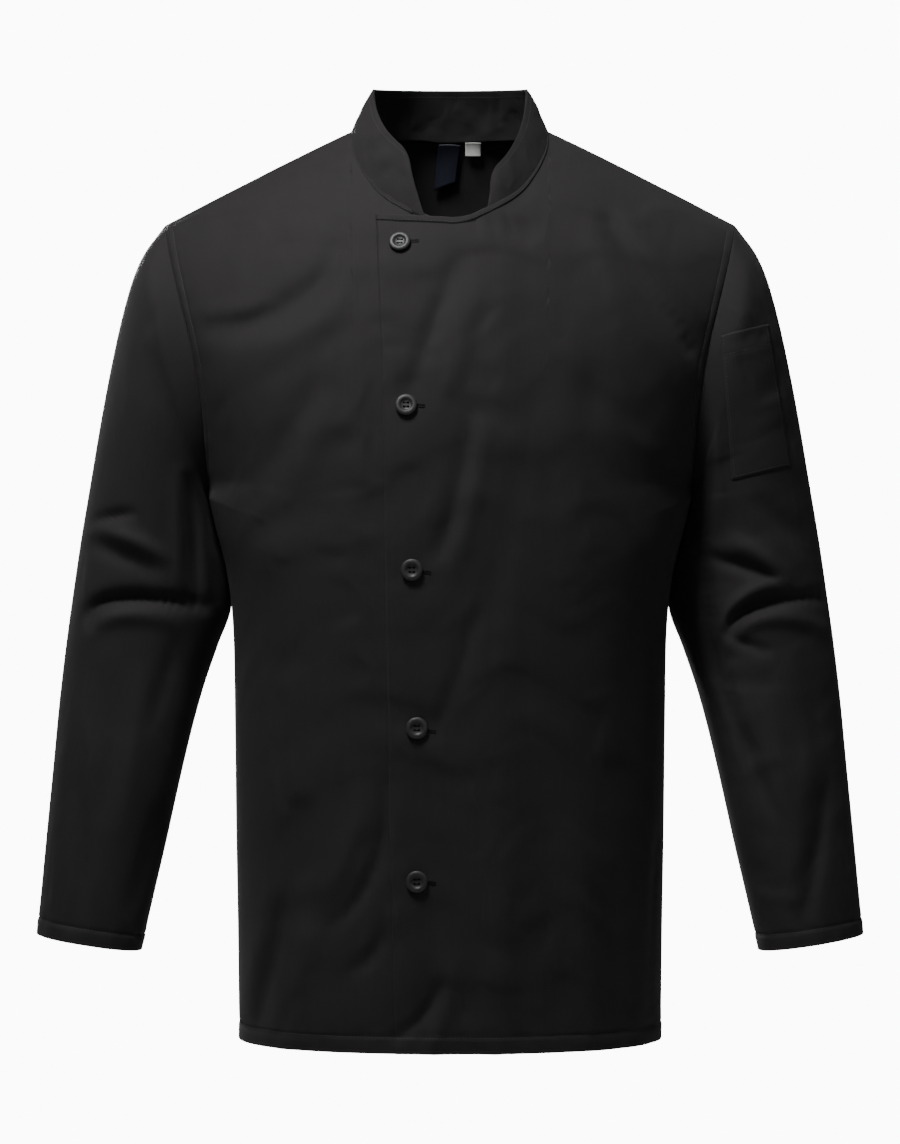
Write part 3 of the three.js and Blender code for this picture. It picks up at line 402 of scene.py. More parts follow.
@dataclass(frozen=True)
class TorsoHalf:
    """The front or the back of the torso as a surface of s (-1 to 1 across) and t (a row)."""

    half: Half
    folds: Sequence[tuple]
    seed: int

    def side_column(self) -> int:
        """Column of the section table that holds this half's side."""
        return SECTION_COLUMNS.index("side_front" if self.half is Half.FRONT else "side_back")

    def side(self, t: Grid) -> Grid:
        """Where a section ends: on the armhole down to the underarm, then on the side seam."""
        points = np.array([row[self.side_column()] for row in SECTIONS], float)
        armhole = row_curve(points[: UNDERARM + 1], np.minimum(t, UNDERARM))
        seam = row_curve(points[UNDERARM:], np.maximum(t - UNDERARM, 0))
        return np.where((t < UNDERARM)[..., None], armhole, seam)

    def smooth(self, s: Grid, t: Grid) -> Grid:
        """The sections, each eased towards its neighbours' mean round the underarm's row."""
        s, t = np.broadcast_arrays(np.asarray(s, float), np.asarray(t, float))
        plain = self.section(s, t)
        around = (self.section(s, t - UNDERARM_STEP) + self.section(s, t + UNDERARM_STEP)) / 2
        ease = UNDERARM_EASE * smoothstep(1 - np.abs(s), 0.05, 0.5) * bell(t - UNDERARM, UNDERARM_REACH)
        return plain + (around - plain) * ease[..., None]

    def section(self, s: Grid, t: Grid) -> Grid:
        """Surface without folds. Across a section x follows a sine up to the section's turn, y the
        superellipse of exponent BODY_ROUNDNESS, and z falls along a softened straight line."""
        whole = np.array([row[self.side_column()] for row in SECTIONS], float)
        inner = smoothstep(1 - np.abs(s), *SIDE_BLEND)[..., None]
        side = self.side(t) * (1 - inner) + row_curve(soften(whole), t) * inner
        column = SECTION_COLUMNS.index("mid_front" if self.half is Half.FRONT else "mid_back")
        mid = row_curve(np.array([row[column] for row in SECTIONS], float), t)
        turns = np.array([row[4] for row in SECTIONS])
        ends = np.clip(1 - turns**BODY_ROUNDNESS, 0, None) ** (1 / BODY_ROUNDNESS)
        fine_ends = soften(np.interp(FINE_ROWS, range(LAST_ROW + 1), ends))
        end = np.clip(np.interp(t, FINE_ROWS, fine_ends), 0, 1)
        turn = (1 - end**BODY_ROUNDNESS) ** (1 / BODY_ROUNDNESS)
        sine = np.sin(s * np.arcsin(turn))
        share = sine / turn
        bow = np.clip(1 - np.abs(sine) ** BODY_ROUNDNESS, 0, None) ** (1 / BODY_ROUNDNESS)
        fullness = (bow - end) / (1 - end)
        soft = RIDGE_SOFTNESS
        fall = (np.hypot(share, soft) - soft) / (math.hypot(1, soft) - soft)
        x = side[..., 0] * share
        y = side[..., 1] + (mid[..., 0] - side[..., 1]) * fullness
        z = mid[..., 1] + (side[..., 2] - mid[..., 1]) * fall
        return np.stack([x, y, z], -1)

    def point(self, s: Grid, t: Grid) -> Grid:
        """Surface with its folds sunk along Y and a slight crumple, all fading at the armhole."""
        s, t = np.broadcast_arrays(np.asarray(s, float), np.asarray(t, float))
        p = self.smooth(s, t)
        fade = 1 - smoothstep(np.abs(s), FOLD_EDGE, 1)
        sink = fold_depth(self.folds, p[..., 0], p[..., 2]) + crumple(p, self.seed, *TORSO_CRUMPLE)
        p[..., 1] -= self.half.value * fade * sink
        return p

    def normal(self, s: Grid, t: Grid) -> Grid:
        """Unit normal out of the torso, from short steps along the surface."""
        s, t = np.broadcast_arrays(np.asarray(s, float), np.asarray(t, float))
        t = np.clip(t, 0.01, LAST_ROW - 0.01)
        across = self.point(s + 1e-3, t) - self.point(s - 1e-3, t)
        down = self.point(s, t + 1e-2) - self.point(s, t - 1e-2)
        return unit(np.cross(across, down) * self.half.value)

    def neck_row(self, s: Grid) -> Grid:
        """Row at which each column leaves the neck ellipse; 0 on the shoulder seam."""

        def outside(t: Grid) -> Grid:
            p = self.point(s, t)
            return np.hypot(p[..., 0] / NECK_HALF_WIDTH, p[..., 1] / NECK_DEPTH[self.half]) > 1

        rows = bisect(outside, np.zeros_like(s), np.full_like(s, UNDERARM))
        return np.where(np.abs(s) >= NECK_S - 1e-9, 0.0, rows)


FRONT = TorsoHalf(Half.FRONT, FRONT_FOLDS, 5)
BACK = TorsoHalf(Half.BACK, BACK_FOLDS, 11)


def ridge_s(x: Grid) -> Grid:
    """s at which the shoulder ridge passes x: the inverse of x = side.x sin(s asin(turn)) / turn."""
    tip, turn = SECTIONS[0][0][0], SECTIONS[0][4]
    return np.arcsin(np.asarray(x) / tip * turn) / math.asin(turn)


NECK_S = float(ridge_s(NECK_HALF_WIDTH))
NECK_STEPS, SHOULDER_STEPS, LAP_STEPS = 34, 54, 30
ARMHOLE_LINES = (10, 8.6, 7.6, 6.7, 5.8, 4, 2, 0.8, 0)
ARMHOLE_REACH = 210
NECK_TURNS = np.concatenate([np.linspace(0, 76, NECK_STEPS - 2), (80, 84, 90)])
HALF_COLUMNS = np.concatenate([
    ridge_s(NECK_HALF_WIDTH * np.sin(np.radians(NECK_TURNS))),
    np.linspace(NECK_S, 1 - ARMHOLE_LINES[0] / ARMHOLE_REACH, SHOULDER_STEPS + 1)[1:],
    1 - np.array(ARMHOLE_LINES[1:]) / ARMHOLE_REACH,
])
ARMHOLE_STEPS, SIDE_STEPS = 84, 104
HEM_DEPTH = 13.5
HEM_ROW_LENGTH = 78
HEM_ZONE = 26
HEM_LAYER = 0.5
HEM_GROOVE = 0.7
HEM_GROOVE_WIDTH = 1.3
HEM_PUCKER = 0.35
HEM_PUCKER_REACH = 7
HEM_LINES = (22, 18, 16, 14.6, 13.5, 12.4, 10, 6, 2.5, 0.8, 0)
ROWS = np.concatenate([
    np.linspace(0, UNDERARM, ARMHOLE_STEPS + 1)[:-1],
    np.linspace(UNDERARM, LAST_ROW - HEM_ZONE / HEM_ROW_LENGTH, SIDE_STEPS + 1),
    LAST_ROW - np.array(HEM_LINES) / HEM_ROW_LENGTH,
])


def torso_rows(start: Grid) -> Grid:
    """ROWS in each column, squeezed to run from its own start to the last one."""
    return start + (1 - start / LAST_ROW) * ROWS[:, None]


def lap_edge_s(t: Grid) -> Grid:
    """s of the left front's free edge on each row, by bisection on its x."""
    heights, places = (np.array(c, float)[::-1] for c in zip(*LAP_EDGE))

    def inside(s: Grid) -> Grid:
        p = FRONT.smooth(s, t)
        return p[..., 0] >= np.interp(p[..., 2], heights, places)

    return bisect(inside, np.full_like(t, -1.0), np.zeros_like(t))


def lap_rise(x: Grid, layer: float) -> Grid:
    """Lift of the left front over the right one: layer over the lap, easing to 0 past it."""
    return layer * (1 - smoothstep(x, LAP_HIDDEN_X, LAP_HIDDEN_X + LAP_EASE))


def hem_relief(gap: Grid, along: Grid, depth: float = HEM_DEPTH) -> Grid:
    """Height of a turned hem at a distance from its edge: a second layer up to its stitch line, a
    groove on the line, and slight puckers along it."""
    layer = HEM_LAYER * (1 - smoothstep(gap, depth - 1.5, depth + 0.5))
    groove = -HEM_GROOVE * bell(gap - depth, HEM_GROOVE_WIDTH)
    pucker = HEM_PUCKER * np.sin(along / 3.4 + 1.7 * np.sin(along / 19))
    return layer + groove + pucker * bell(gap - depth, HEM_PUCKER_REACH)


@dataclass(frozen=True)
class SleeveSurface:
    """A sleeve as a surface of c (0 at the shoulder tip, 1 at the underarm by the front, 2 back at
    the tip) and r (0 on the armhole, then one for each section)."""

    side: Side
    folds: Sequence[tuple]
    seed: int

    def start(self, c: Grid) -> Grid:
        """The armhole loop."""
        rows = UNDERARM * np.where(c <= 1, c, 2 - c)
        return np.where((c <= 1)[..., None], FRONT.side(rows), BACK.side(rows))

    def angle(self, c: Grid) -> Grid:
        """Angle round the sleeve: 0 outside, a quarter turn at the front, half at the underarm."""
        p = self.start(c)
        tip, pit = (np.array(SECTIONS[i][0], float) for i in (0, UNDERARM))
        half = (tip - pit) / 2
        off = p - (tip + pit) / 2
        along = off @ half / (half @ half)
        reach = np.where(c <= 1, SLEEVE_REACH[Half.FRONT], SLEEVE_REACH[Half.BACK])
        angle = np.arctan2(np.abs(off[..., 1] - ARMHOLE_MIDDLE_Y) / reach, along)
        angle = np.where(c <= 1, angle, 2 * math.pi - angle)
        angle = np.where((c <= 1e-9) | (c >= 2 - 1e-9), 0, angle)
        return np.where(np.abs(c - 1) < 1e-9, math.pi, angle)

    def point(self, c: Grid, r: Grid) -> Grid:
        """Section rings joined by a smooth curve down each column, with folds and crumple.

        Args:
            c: columns, one dimension.
            r: rows, one dimension or a row for each column.

        Returns:
            Grid of points (rows, columns, 3).
        """
        angle = self.angle(c)
        power = 2 / SLEEVE_ROUNDNESS
        cosine = np.sign(np.cos(angle)) * np.abs(np.cos(angle)) ** power
        sine = np.sign(np.sin(angle)) * np.abs(np.sin(angle)) ** power
        rings = [self.start(c)]
        for outer, inner, near, far, inner_back in SLEEVE_SECTIONS:
            x = (outer[0] + inner[0]) / 2 + (outer[0] - inner[0]) / 2 * cosine
            y = (near + far) / 2 - (far - near) / 2 * sine + inner_back * (1 - cosine) / 2
            z = (outer[1] + inner[1]) / 2 + (outer[1] - inner[1]) / 2 * cosine
            rings.append(np.stack([x, y, z], -1))
        rows = r if r.ndim == 2 else np.broadcast_to(r[:, None], (len(r), len(c)))
        p = row_curve(np.stack(rings), rows)
        near = smoothstep(np.sin(angle), *SIDE_BLEND)
        far = smoothstep(-np.sin(angle), *SIDE_BLEND)
        sign = self.side.value
        sink = near * fold_depth(self.folds, p[..., 0] * sign, p[..., 2])
        sink = sink - far * fold_depth(SLEEVE_BACK_FOLDS, p[..., 0], p[..., 2])
        ease = smoothstep(rows, 0.4, 2.2)
        p[..., 1] += sink * ease
        away = unit(np.stack([cosine, -sine, np.zeros_like(sine)], -1))
        calm = smoothstep(np.abs(np.sin(angle)), 0.1, 0.75)
        p = p + away * (crumple(p, self.seed, *SLEEVE_CRUMPLE) * ease * calm)[..., None]
        return p * np.array([sign, 1, 1])


LEFT_SLEEVE = SleeveSurface(Side.LEFT, LEFT_SLEEVE_FOLDS, 21)
RIGHT_SLEEVE = SleeveSurface(Side.RIGHT, RIGHT_SLEEVE_FOLDS, 23)
CUFF_ROW_LENGTH = 45
CUFF_ZONE = 24
SLEEVE_STEPS = 150
SLEEVE_ROWS = np.concatenate([
    (0, 0.04, 0.1, 0.2, 0.35, 0.5, 0.75),
    np.linspace(1, SLEEVE_LAST - CUFF_ZONE / CUFF_ROW_LENGTH, SLEEVE_STEPS),
    SLEEVE_LAST - np.array(HEM_LINES) / CUFF_ROW_LENGTH,
])
SLEEVE_COLUMNS = np.linspace(0, 2, 2 * ARMHOLE_STEPS + 1)[:-1]


def box_uv(grid: Grid) -> Grid:
    """Cloth coordinates in metres: the length walked along each row from its middle, averaged over
    the rows, and down each column from its top."""
    across = edge_distance(grid, 1, False)
    down = edge_distance(grid, 0, False)
    middle = across[:, [across.shape[1] // 2]]
    return np.stack([across - middle, down[-1:] - down], -1) * MM


def linked(name: str, data: bpy.types.ID) -> bpy.types.Object:
    """A new object of the given data, in the scene."""
    made = bpy.data.objects.new(name, data)
    bpy.context.scene.collection.objects.link(made)
    return made


def mesh_object(name: str, points: Grid, faces: list) -> bpy.types.Object:
    """A smoothly shaded object from vertices in metres and lists of their indexes."""
    mesh = bpy.data.meshes.new(name)
    mesh.from_pydata(points.tolist(), [], faces)
    mesh.polygons.foreach_set("use_smooth", np.ones(len(mesh.polygons), bool))
    mesh.update()
    return linked(name, mesh)


def grid_object(name: str, grid: Grid, wrap: bool = False, uv: Grid | None = None) -> bpy.types.Object:
    """A mesh object from a grid of points in millimetres whose rows run down and whose columns run
    right, seen from outside.

    Args:
        name: object name.
        grid: points (rows, columns, 3).
        wrap: whether the last column joins the first.
        uv: cloth coordinates, or None for those of box_uv.

    Returns:
        The new object, linked to the scene.
    """
    if wrap:
        grid = np.concatenate([grid, grid[:, :1]], axis=1)
    uv = box_uv(grid) if uv is None else uv
    rows, columns = grid.shape[:2]
    welded = columns - 1 if wrap else columns
    index = np.arange(rows)[:, None] * welded + np.arange(columns)[None, :] % welded
    corner = np.arange(rows * columns).reshape(rows, columns)

    def quads(ids: Grid) -> Grid:
        return np.stack([ids[:-1, :-1], ids[1:, :-1], ids[1:, 1:], ids[:-1, 1:]], -1).reshape(-1, 4)

    piece = mesh_object(name, grid[:, :welded].reshape(-1, 3) * MM, quads(index).tolist())
    layer = piece.data.uv_layers.new(name="cloth")
    layer.data.foreach_set("uv", uv.reshape(-1, 2)[quads(corner).ravel()].ravel())
    return piece


def joined_copies(name: str, shape: Grid, faces: Grid, places: Grid, frames: Grid) -> bpy.types.Object:
    """One mesh of many copies of a small shape.

    Args:
        name: object name.
        shape: vertices (V, 3) of one copy, millimetres.
        faces: quads (F, 4) of one copy.
        places: where each copy stands (N, 3), millimetres.
        frames: its three axes as rows (N, 3, 3).

    Returns:
        The new object.
    """
    points = places[:, None] + np.einsum("vk,nkj->nvj", shape, frames)
    ids = faces[None] + (np.arange(len(places)) * len(shape))[:, None, None]
    piece = mesh_object(name, points.reshape(-1, 3) * MM, ids.reshape(-1, 4).tolist())
    piece.data.validate()
    return piece


def bead(length: float, width: float, height: float, rings: int = 5, sides: int = 6) -> tuple[Grid, Grid]:
    """Vertices and quads of a closed spindle along x: a circle of sides swept over rings, its
    radius following a half sine that stays a little open at the ends, whose rings shrink to a dot."""
    u = np.linspace(0, 1, rings)
    radius = np.sqrt(np.clip(np.sin(np.pi * u), 1e-4, None))
    turn = np.linspace(0, 2 * math.pi, sides, endpoint=False)
    x = np.broadcast_to((u[:, None] - 0.5) * length, (rings, sides))
    y = radius[:, None] * np.cos(turn) * width / 2
    z = radius[:, None] * np.sin(turn) * height / 2
    ids = np.arange(rings * sides).reshape(rings, sides)
    nxt = np.roll(ids, -1, axis=1)
    faces = np.stack([ids[:-1], nxt[:-1], nxt[1:], ids[1:]], -1).reshape(-1, 4)
    return np.stack([x, y, z], -1).reshape(-1, 3), faces


def even_steps(path: Grid, pitch: float) -> tuple[Grid, Grid]:
    """Fractional indexes of even steps along a path, and unit directions there."""
    run = edge_distance(path[:, None], 0, False)[:, 0]
    count = max(int(run[-1] / pitch), 1)
    at = np.interp((np.arange(count) + 0.5) * run[-1] / count, run, np.arange(len(path)))
    low = np.clip(at.astype(int), 0, len(path) - 2)
    return at, unit(path[low + 1] - path[low])


STITCH_PITCH = 3.0
STITCH = bead(2.3, 0.5, 0.34)


def stitch_line(name: str, path: Grid, normals: Grid, lift: float = 0.06) -> bpy.types.Object:
    """A run of lockstitches along a path that lies on the cloth.

    Args:
        name: object name.
        path: points on the cloth's outside (N, 3), millimetres.
        normals: the cloth's normals there.
        lift: height of the thread's middle over the cloth.

    Returns:
        One mesh of all its stitches.
    """
    at, way = even_steps(path, STITCH_PITCH)
    index = np.arange(len(path))
    place, up = (
        np.stack([np.interp(at, index, line[:, k]) for k in range(3)], -1) for line in (path, normals)
    )
    up = unit(up - way * np.sum(up * way, axis=1, keepdims=True))
    side = np.cross(up, way)
    return joined_copies(name, *STITCH, place + up * lift, np.stack([way, side, up], 1))


def shell(piece: bpy.types.Object, wall: float, rounded: bool = False) -> None:
    """Gives a sheet its wall, inwards, and where asked rounds the wall's edges."""
    solidify = piece.modifiers.new("wall", "SOLIDIFY")
    solidify.thickness = wall * MM
    solidify.offset = -1
    solidify.use_rim = True
    if rounded:
        bevel = piece.modifiers.new("rounded edges", "BEVEL")
        bevel.width = wall * MM * 0.36
        bevel.segments = 2
        bevel.limit_method = "ANGLE"
        bevel.angle_limit = math.radians(55)


def feed(tree: bpy.types.NodeTree, node: bpy.types.Node, inputs: dict) -> None:
    """Sets each named input of a node to a value, or links it from another node's socket."""
    for key, value in inputs.items():
        if isinstance(value, bpy.types.NodeSocket):
            tree.links.new(value, node.inputs[key])
        else:
            node.inputs[key].default_value = value


def add_node(tree: bpy.types.NodeTree, kind: str, inputs: dict, output: str | int = 0
             ) -> bpy.types.NodeSocket:
    """An output of a new node whose inputs are fed."""
    made = tree.nodes.new(kind)
    feed(tree, made, inputs)
    return made.outputs[output]


def math_node(tree: bpy.types.NodeTree, operation: str, *terms: object) -> bpy.types.NodeSocket:
    """The output of a new Math node of some terms, each a value or a socket."""
    made = tree.nodes.new("ShaderNodeMath")
    made.operation = operation
    feed(tree, made, dict(enumerate(terms)))
    return made.outputs[0]


def mix_node(tree: bpy.types.NodeTree, kind: str, share: object, low: object, high: object
             ) -> bpy.types.NodeSocket:
    """The output of a new Mix node of FLOAT or RGBA kind."""
    made = tree.nodes.new("ShaderNodeMix")
    made.data_type = kind
    feed(tree, made, {"Factor": share, "A": low, "B": high})
    return made.outputs["Result"]


def new_material(name: str) -> tuple[bpy.types.Material, bpy.types.NodeTree, bpy.types.Node]:
    """A new material, its node tree and its shader."""
    material = bpy.data.materials.new(name)
    material.use_nodes = True
    return material, material.node_tree, material.node_tree.nodes["Principled BSDF"]


@dataclass(frozen=True)
class Weave:
    """The twill group: fine diagonal ribs with slubs, yarns of uneven tone along the warp, and a
    faint cloudiness of the dye."""

    rib_pitch: float = 0.62
    rib_turn: float = -52
    rib_share: float = 0.3
    slub_scale: float = 420
    slub_bend: float = 3
    slub_height: float = 0.6
    dye_scale: float = 14
    dye_roughness: float = 0.62
    streak_scale: tuple[float, float, float] = (620, 16, 1)
    streak_share: float = 0.5
    roughness_swing: float = 0.16
    name: str = "twill weave"

    def group(self) -> bpy.types.NodeTree:
        """Builds the shader node group once.

        Returns:
            The group, with the sockets Pitch, Dark, Light and Roughness in, and Color, Roughness
            and Height out.
        """
        made = bpy.data.node_groups.get(self.name)
        if made:
            return made
        tree = bpy.data.node_groups.new(self.name, "ShaderNodeTree")
        for label, kind, value in (
            ("Pitch", "Float", self.rib_pitch),
            ("Dark", "Color", (0.01, 0.01, 0.01, 1)),
            ("Light", "Color", (0.02, 0.02, 0.02, 1)),
            ("Roughness", "Float", 0.7),
        ):
            socket = tree.interface.new_socket(label, in_out="INPUT", socket_type=f"NodeSocket{kind}")
            socket.default_value = value
        for label, kind in (("Color", "Color"), ("Roughness", "Float"), ("Height", "Float")):
            tree.interface.new_socket(label, in_out="OUTPUT", socket_type=f"NodeSocket{kind}")
        given = tree.nodes.new("NodeGroupInput").outputs
        cloth = tree.nodes.new("ShaderNodeUVMap")
        cloth.uv_map = "cloth"
        uv = cloth.outputs["UV"]
        spot = add_node(tree, "ShaderNodeTexCoord", {}, "Object")
        turn = {"Vector": uv, "Rotation": (0, 0, math.radians(self.rib_turn))}
        across = add_node(tree, "ShaderNodeSeparateXYZ", {0: add_node(tree, "ShaderNodeMapping", turn)}, "X")
        knots = {"Vector": spot, "Scale": self.slub_scale, "Detail": 3}
        slub = add_node(tree, "ShaderNodeTexNoise", knots, "Fac")
        metres = math_node(tree, "MULTIPLY", given["Pitch"], MM / (2 * math.pi))
        phase = math_node(tree, "DIVIDE", across, metres)
        rib = math_node(tree, "SINE", math_node(tree, "MULTIPLY_ADD", slub, self.slub_bend, phase))
        height = add_node(tree, "ShaderNodeMapRange", {"Value": rib, "From Min": -1}, "Result")
        cloud = {"Vector": spot, "Scale": self.dye_scale, "Detail": 6, "Roughness": self.dye_roughness}
        dye = add_node(tree, "ShaderNodeTexNoise", cloud, "Fac")
        warp = add_node(tree, "ShaderNodeMapping", {"Vector": uv, "Scale": self.streak_scale})
        streak = add_node(tree, "ShaderNodeTexNoise", {"Vector": warp, "Scale": 1, "Detail": 4}, "Fac")
        worn = mix_node(tree, "FLOAT", self.streak_share, dye, streak)
        fibre = mix_node(tree, "FLOAT", self.rib_share, worn, height)
        feed(tree, tree.nodes.new("NodeGroupOutput"), {
            "Color": mix_node(tree, "RGBA", fibre, given["Dark"], given["Light"]),
            "Roughness": math_node(tree, "MULTIPLY_ADD", dye, self.roughness_swing, given["Roughness"]),
            "Height": math_node(tree, "MULTIPLY_ADD", slub, self.slub_height, height),
        })
        return tree


@dataclass(frozen=True)
class ClothFinish:
    """Charcoal black twill: Dark and Light are the dye's two ends, linear."""

    name: str = "charcoal twill"
    dark: tuple[float, float, float] = (0.0058, 0.0051, 0.0052)
    light: tuple[float, float, float] = (0.0162, 0.0144, 0.0147)
    roughness: float = 0.66
    relief: float = 0.00016
    relief_strength: float = 0.55
    sheen: float = 0.03
    sheen_roughness: float = 0.55
    specular: float = 0.16

    def material(self) -> bpy.types.Material:
        """Builds the material: the weave group feeds the shader and a bump.

        Returns:
            The material.
        """
        material, tree, shader = new_material(self.name)
        weave = tree.nodes.new("ShaderNodeGroup")
        weave.node_tree = Weave().group()
        feed(tree, weave, {
            "Dark": (*self.dark, 1), "Light": (*self.light, 1), "Roughness": self.roughness,
        })
        raised = {"Distance": self.relief, "Strength": self.relief_strength,
                  "Height": weave.outputs["Height"]}
        feed(tree, shader, {
            "Base Color": weave.outputs["Color"],
            "Roughness": weave.outputs["Roughness"],
            "Normal": add_node(tree, "ShaderNodeBump", raised),
            "Sheen Weight": self.sheen,
            "Sheen Roughness": self.sheen_roughness,
            "Specular IOR Level": self.specular,
        })
        return material


@dataclass(frozen=True)
class PlainFinish:
    """A material of one colour with a fine noise in its colour and its surface."""

    name: str
    color: tuple[float, float, float]
    roughness: float
    grain: float = 900.0
    relief: float = 0.00002
    specular: float = 0.5
    color_range: tuple[float, float] = (0.8, 1.2)

    def material(self) -> bpy.types.Material:
        """Builds the material.

        Returns:
            The material.
        """
        material, tree, shader = new_material(self.name)
        spot = add_node(tree, "ShaderNodeTexCoord", {}, "Object")
        grain = {"Vector": spot, "Scale": self.grain, "Detail": 3}
        noise = add_node(tree, "ShaderNodeTexNoise", grain, "Fac")
        ramp = tree.nodes.new("ShaderNodeValToRGB")
        for stop, scale in zip(ramp.color_ramp.elements, self.color_range):
            stop.color = (*(min(c * scale, 1) for c in self.color), 1)
        feed(tree, ramp, {"Fac": noise})
        feed(tree, shader, {
            "Base Color": ramp.outputs["Color"],
            "Normal": add_node(tree, "ShaderNodeBump", {"Distance": self.relief, "Height": noise}),
            "Roughness": self.roughness,
            "Specular IOR Level": self.specular,
        })
        return material


THREAD = PlainFinish("black thread", (0.013, 0.0125, 0.0128), 0.62)
# Black thread of the buttonholes and the buttons, darkened well past THREAD as painted shade: it stands in
# for the shadow in each buttonhole's slit and in the button's holes.
PURL_WITH_PAINTED_SHADE = PlainFinish("black buttonhole thread", (0.0035, 0.0033, 0.0034), 0.75, specular=0.1)
HORN = PlainFinish(
    "dark button resin", (0.017, 0.017, 0.0185), 0.5, grain=260, relief=0.00001, specular=0.32
)
NAVY = PlainFinish("navy label satin", (0.0028, 0.0036, 0.0115), 0.5, grain=1500)
GREY = PlainFinish("pale tag tape", (0.42, 0.42, 0.4), 0.75, grain=1200)


@dataclass
class Finishes:
    """The materials of one run, each made when it is first asked for."""

    made: dict[str, bpy.types.Material] = field(default_factory=dict)

    def give(self, piece: bpy.types.Object, finish: ClothFinish | PlainFinish, slot: str) -> None:
        """Puts a finish on a piece."""
        if finish.name not in self.made:
            self.made[finish.name] = finish.material()
        piece.data.materials.clear()
        piece.data.materials.append(self.made[finish.name])


@dataclass(frozen=True)
class Patch:
    """A piece's outside as a grid of points and normals, rows down and columns right."""

    points: Grid
    normals: Grid
    wrap: bool = False
    uv: Grid | None = None

    def at(self, row: Grid, column: Grid) -> tuple[Grid, Grid]:
        """Points and unit normals at fractional rows and columns, linear between the grid's."""
        rows, columns = self.points.shape[:2]
        row = np.clip(row, 0, rows - 1.001)
        column = np.clip(column, 0, columns - 1.001)
        i, j = row.astype(int), column.astype(int)
        u, v = (row - i)[..., None], (column - j)[..., None]

        def mix(grid: Grid) -> Grid:
            top = grid[i, j] * (1 - v) + grid[i, j + 1] * v
            low = grid[i + 1, j] * (1 - v) + grid[i + 1, j + 1] * v
            return top * (1 - u) + low * u

        return mix(self.points), unit(mix(self.normals))

    def seen_place(self, wanted: Grid) -> Grid:
        """Rows and columns whose x and z in the front view are the wanted ones: the nearest grid
        point of the side that faces the front, then Newton's steps on the local slopes.

        Args:
            wanted: [x, z] of each place (..., 2).

        Returns:
            Fractional rows and columns (..., 2).
        """
        flat = wanted.reshape(-1, 2)
        rows, columns = np.nonzero(self.normals[..., 1] < -0.05)
        known = self.points[rows, columns][:, [0, 2]]
        nearest = np.array([np.argmin(((known - goal) ** 2).sum(axis=1)) for goal in flat])
        place = np.stack([rows[nearest], columns[nearest]], -1).astype(float)
        for _ in range(6):
            here = self.at(place[:, 0], place[:, 1])[0][:, [0, 2]]
            down = (self.at(place[:, 0] + 0.5, place[:, 1])[0][:, [0, 2]] - here) / 0.5
            across = (self.at(place[:, 0], place[:, 1] + 0.5)[0][:, [0, 2]] - here) / 0.5
            slopes = np.stack([down, across], -1)
            place += np.clip(np.linalg.solve(slopes, (flat - here)[..., None])[..., 0], -1.5, 1.5)
        return place.reshape(wanted.shape)

    def raised(self, height: Grid | float) -> "Patch":
        """The same patch moved out along its normals."""
        lift = np.broadcast_to(height, self.points.shape[:2])[..., None]
        points = self.points + self.normals * lift
        return Patch(points, grid_normals(points, self.wrap), self.wrap, self.uv)


def patch(points: Grid, wrap: bool = False, uv: Grid | None = None) -> Patch:
    """A patch from its points and, where box_uv doesn't suit it, its cloth coordinates."""
    return Patch(points, grid_normals(points, wrap), wrap, uv)


CLOTH_ACROSS = 235


def panel_uv(s: Grid, t: Grid) -> Grid:
    """Cloth coordinates of a torso panel in metres: its column times the mean width of a half, and
    the length walked down the column s = 0.5."""
    rows = np.linspace(0, LAST_ROW, 61)
    run = np.interp(t, rows, edge_distance(FRONT.smooth(0.5, rows)[:, None], 0, False)[:, 0])
    return np.stack([np.broadcast_to(s * CLOTH_ACROSS, t.shape), -run], -1) * MM


def edge_distance(points: Grid, axis: int, last: bool) -> Grid:
    """Length walked along the grid from its first or last line.

    Args:
        points: grid of points.
        axis: 0 to walk down the columns, 1 to walk along the rows.
        last: whether to start from the last line.

    Returns:
        The distance of every grid point.
    """
    line = np.flip(points, axis) if last else points
    step = np.linalg.norm(np.diff(line, axis=axis), axis=-1)
    pad = [(1, 0), (0, 0)] if axis == 0 else [(0, 0), (1, 0)]
    run = np.cumsum(np.pad(step, pad), axis=axis)
    return np.flip(run, axis) if last else run


def contour_rows(gap: Grid, depth: float) -> Grid:
    """Fractional row in each column at which a distance that shrinks down the column passes depth."""
    first = np.clip(np.argmax(gap < depth, axis=0), 1, None)
    column = np.arange(gap.shape[1])
    above, below = gap[first - 1, column], gap[first, column]
    return first - 1 + np.clip((above - depth) / np.maximum(above - below, 1e-9), 0, 1)


SEAM_RISE = 0.35
ARMHOLE_STITCH = 6.7
ARMHOLE_SHARE = 0.55
TUCK_WIDTH = 1.3
LAYER = 1.6
CLOTH_WALL = 0.9


def tuck_in(gap: Grid) -> Grid:
    """0 on a seam and 1 beside it, so that the cloth of both pieces dips into their joint."""
    return 1 - bell(gap, TUCK_WIDTH)


def panel_relief(points: Grid, rows: Grid, armholes: Sequence[bool], shoulder: Grid) -> Grid:
    """Relief of a torso panel: its hem, the pressed and stitched armhole edges and its seams.

    Args:
        points: the panel's points.
        rows: the torso row of every point.
        armholes: for each armhole edge, whether it is the last column rather than the first.
        shoulder: for each column, 1 where it starts at the shoulder seam.

    Returns:
        Height over the plain surface.
    """
    relief = SEAM_RISE + hem_relief(edge_distance(points, 0, True), points[..., 0])
    armhole = ARMHOLE_SHARE * (1 - smoothstep(rows, UNDERARM - 0.9, UNDERARM - 0.1))
    tuck = 1 - shoulder * (1 - tuck_in(edge_distance(points, 0, False)))
    for last in armholes:
        gap = edge_distance(points, 1, last)
        relief += armhole * hem_relief(gap, points[..., 2], ARMHOLE_STITCH)
        tuck = tuck * tuck_in(gap)
    return relief * tuck


@dataclass(frozen=True)
class Cut:
    """Flat size of a piece of cloth in metres, and its area where it isn't a rectangle."""

    width: float
    length: float
    area: float | None = None


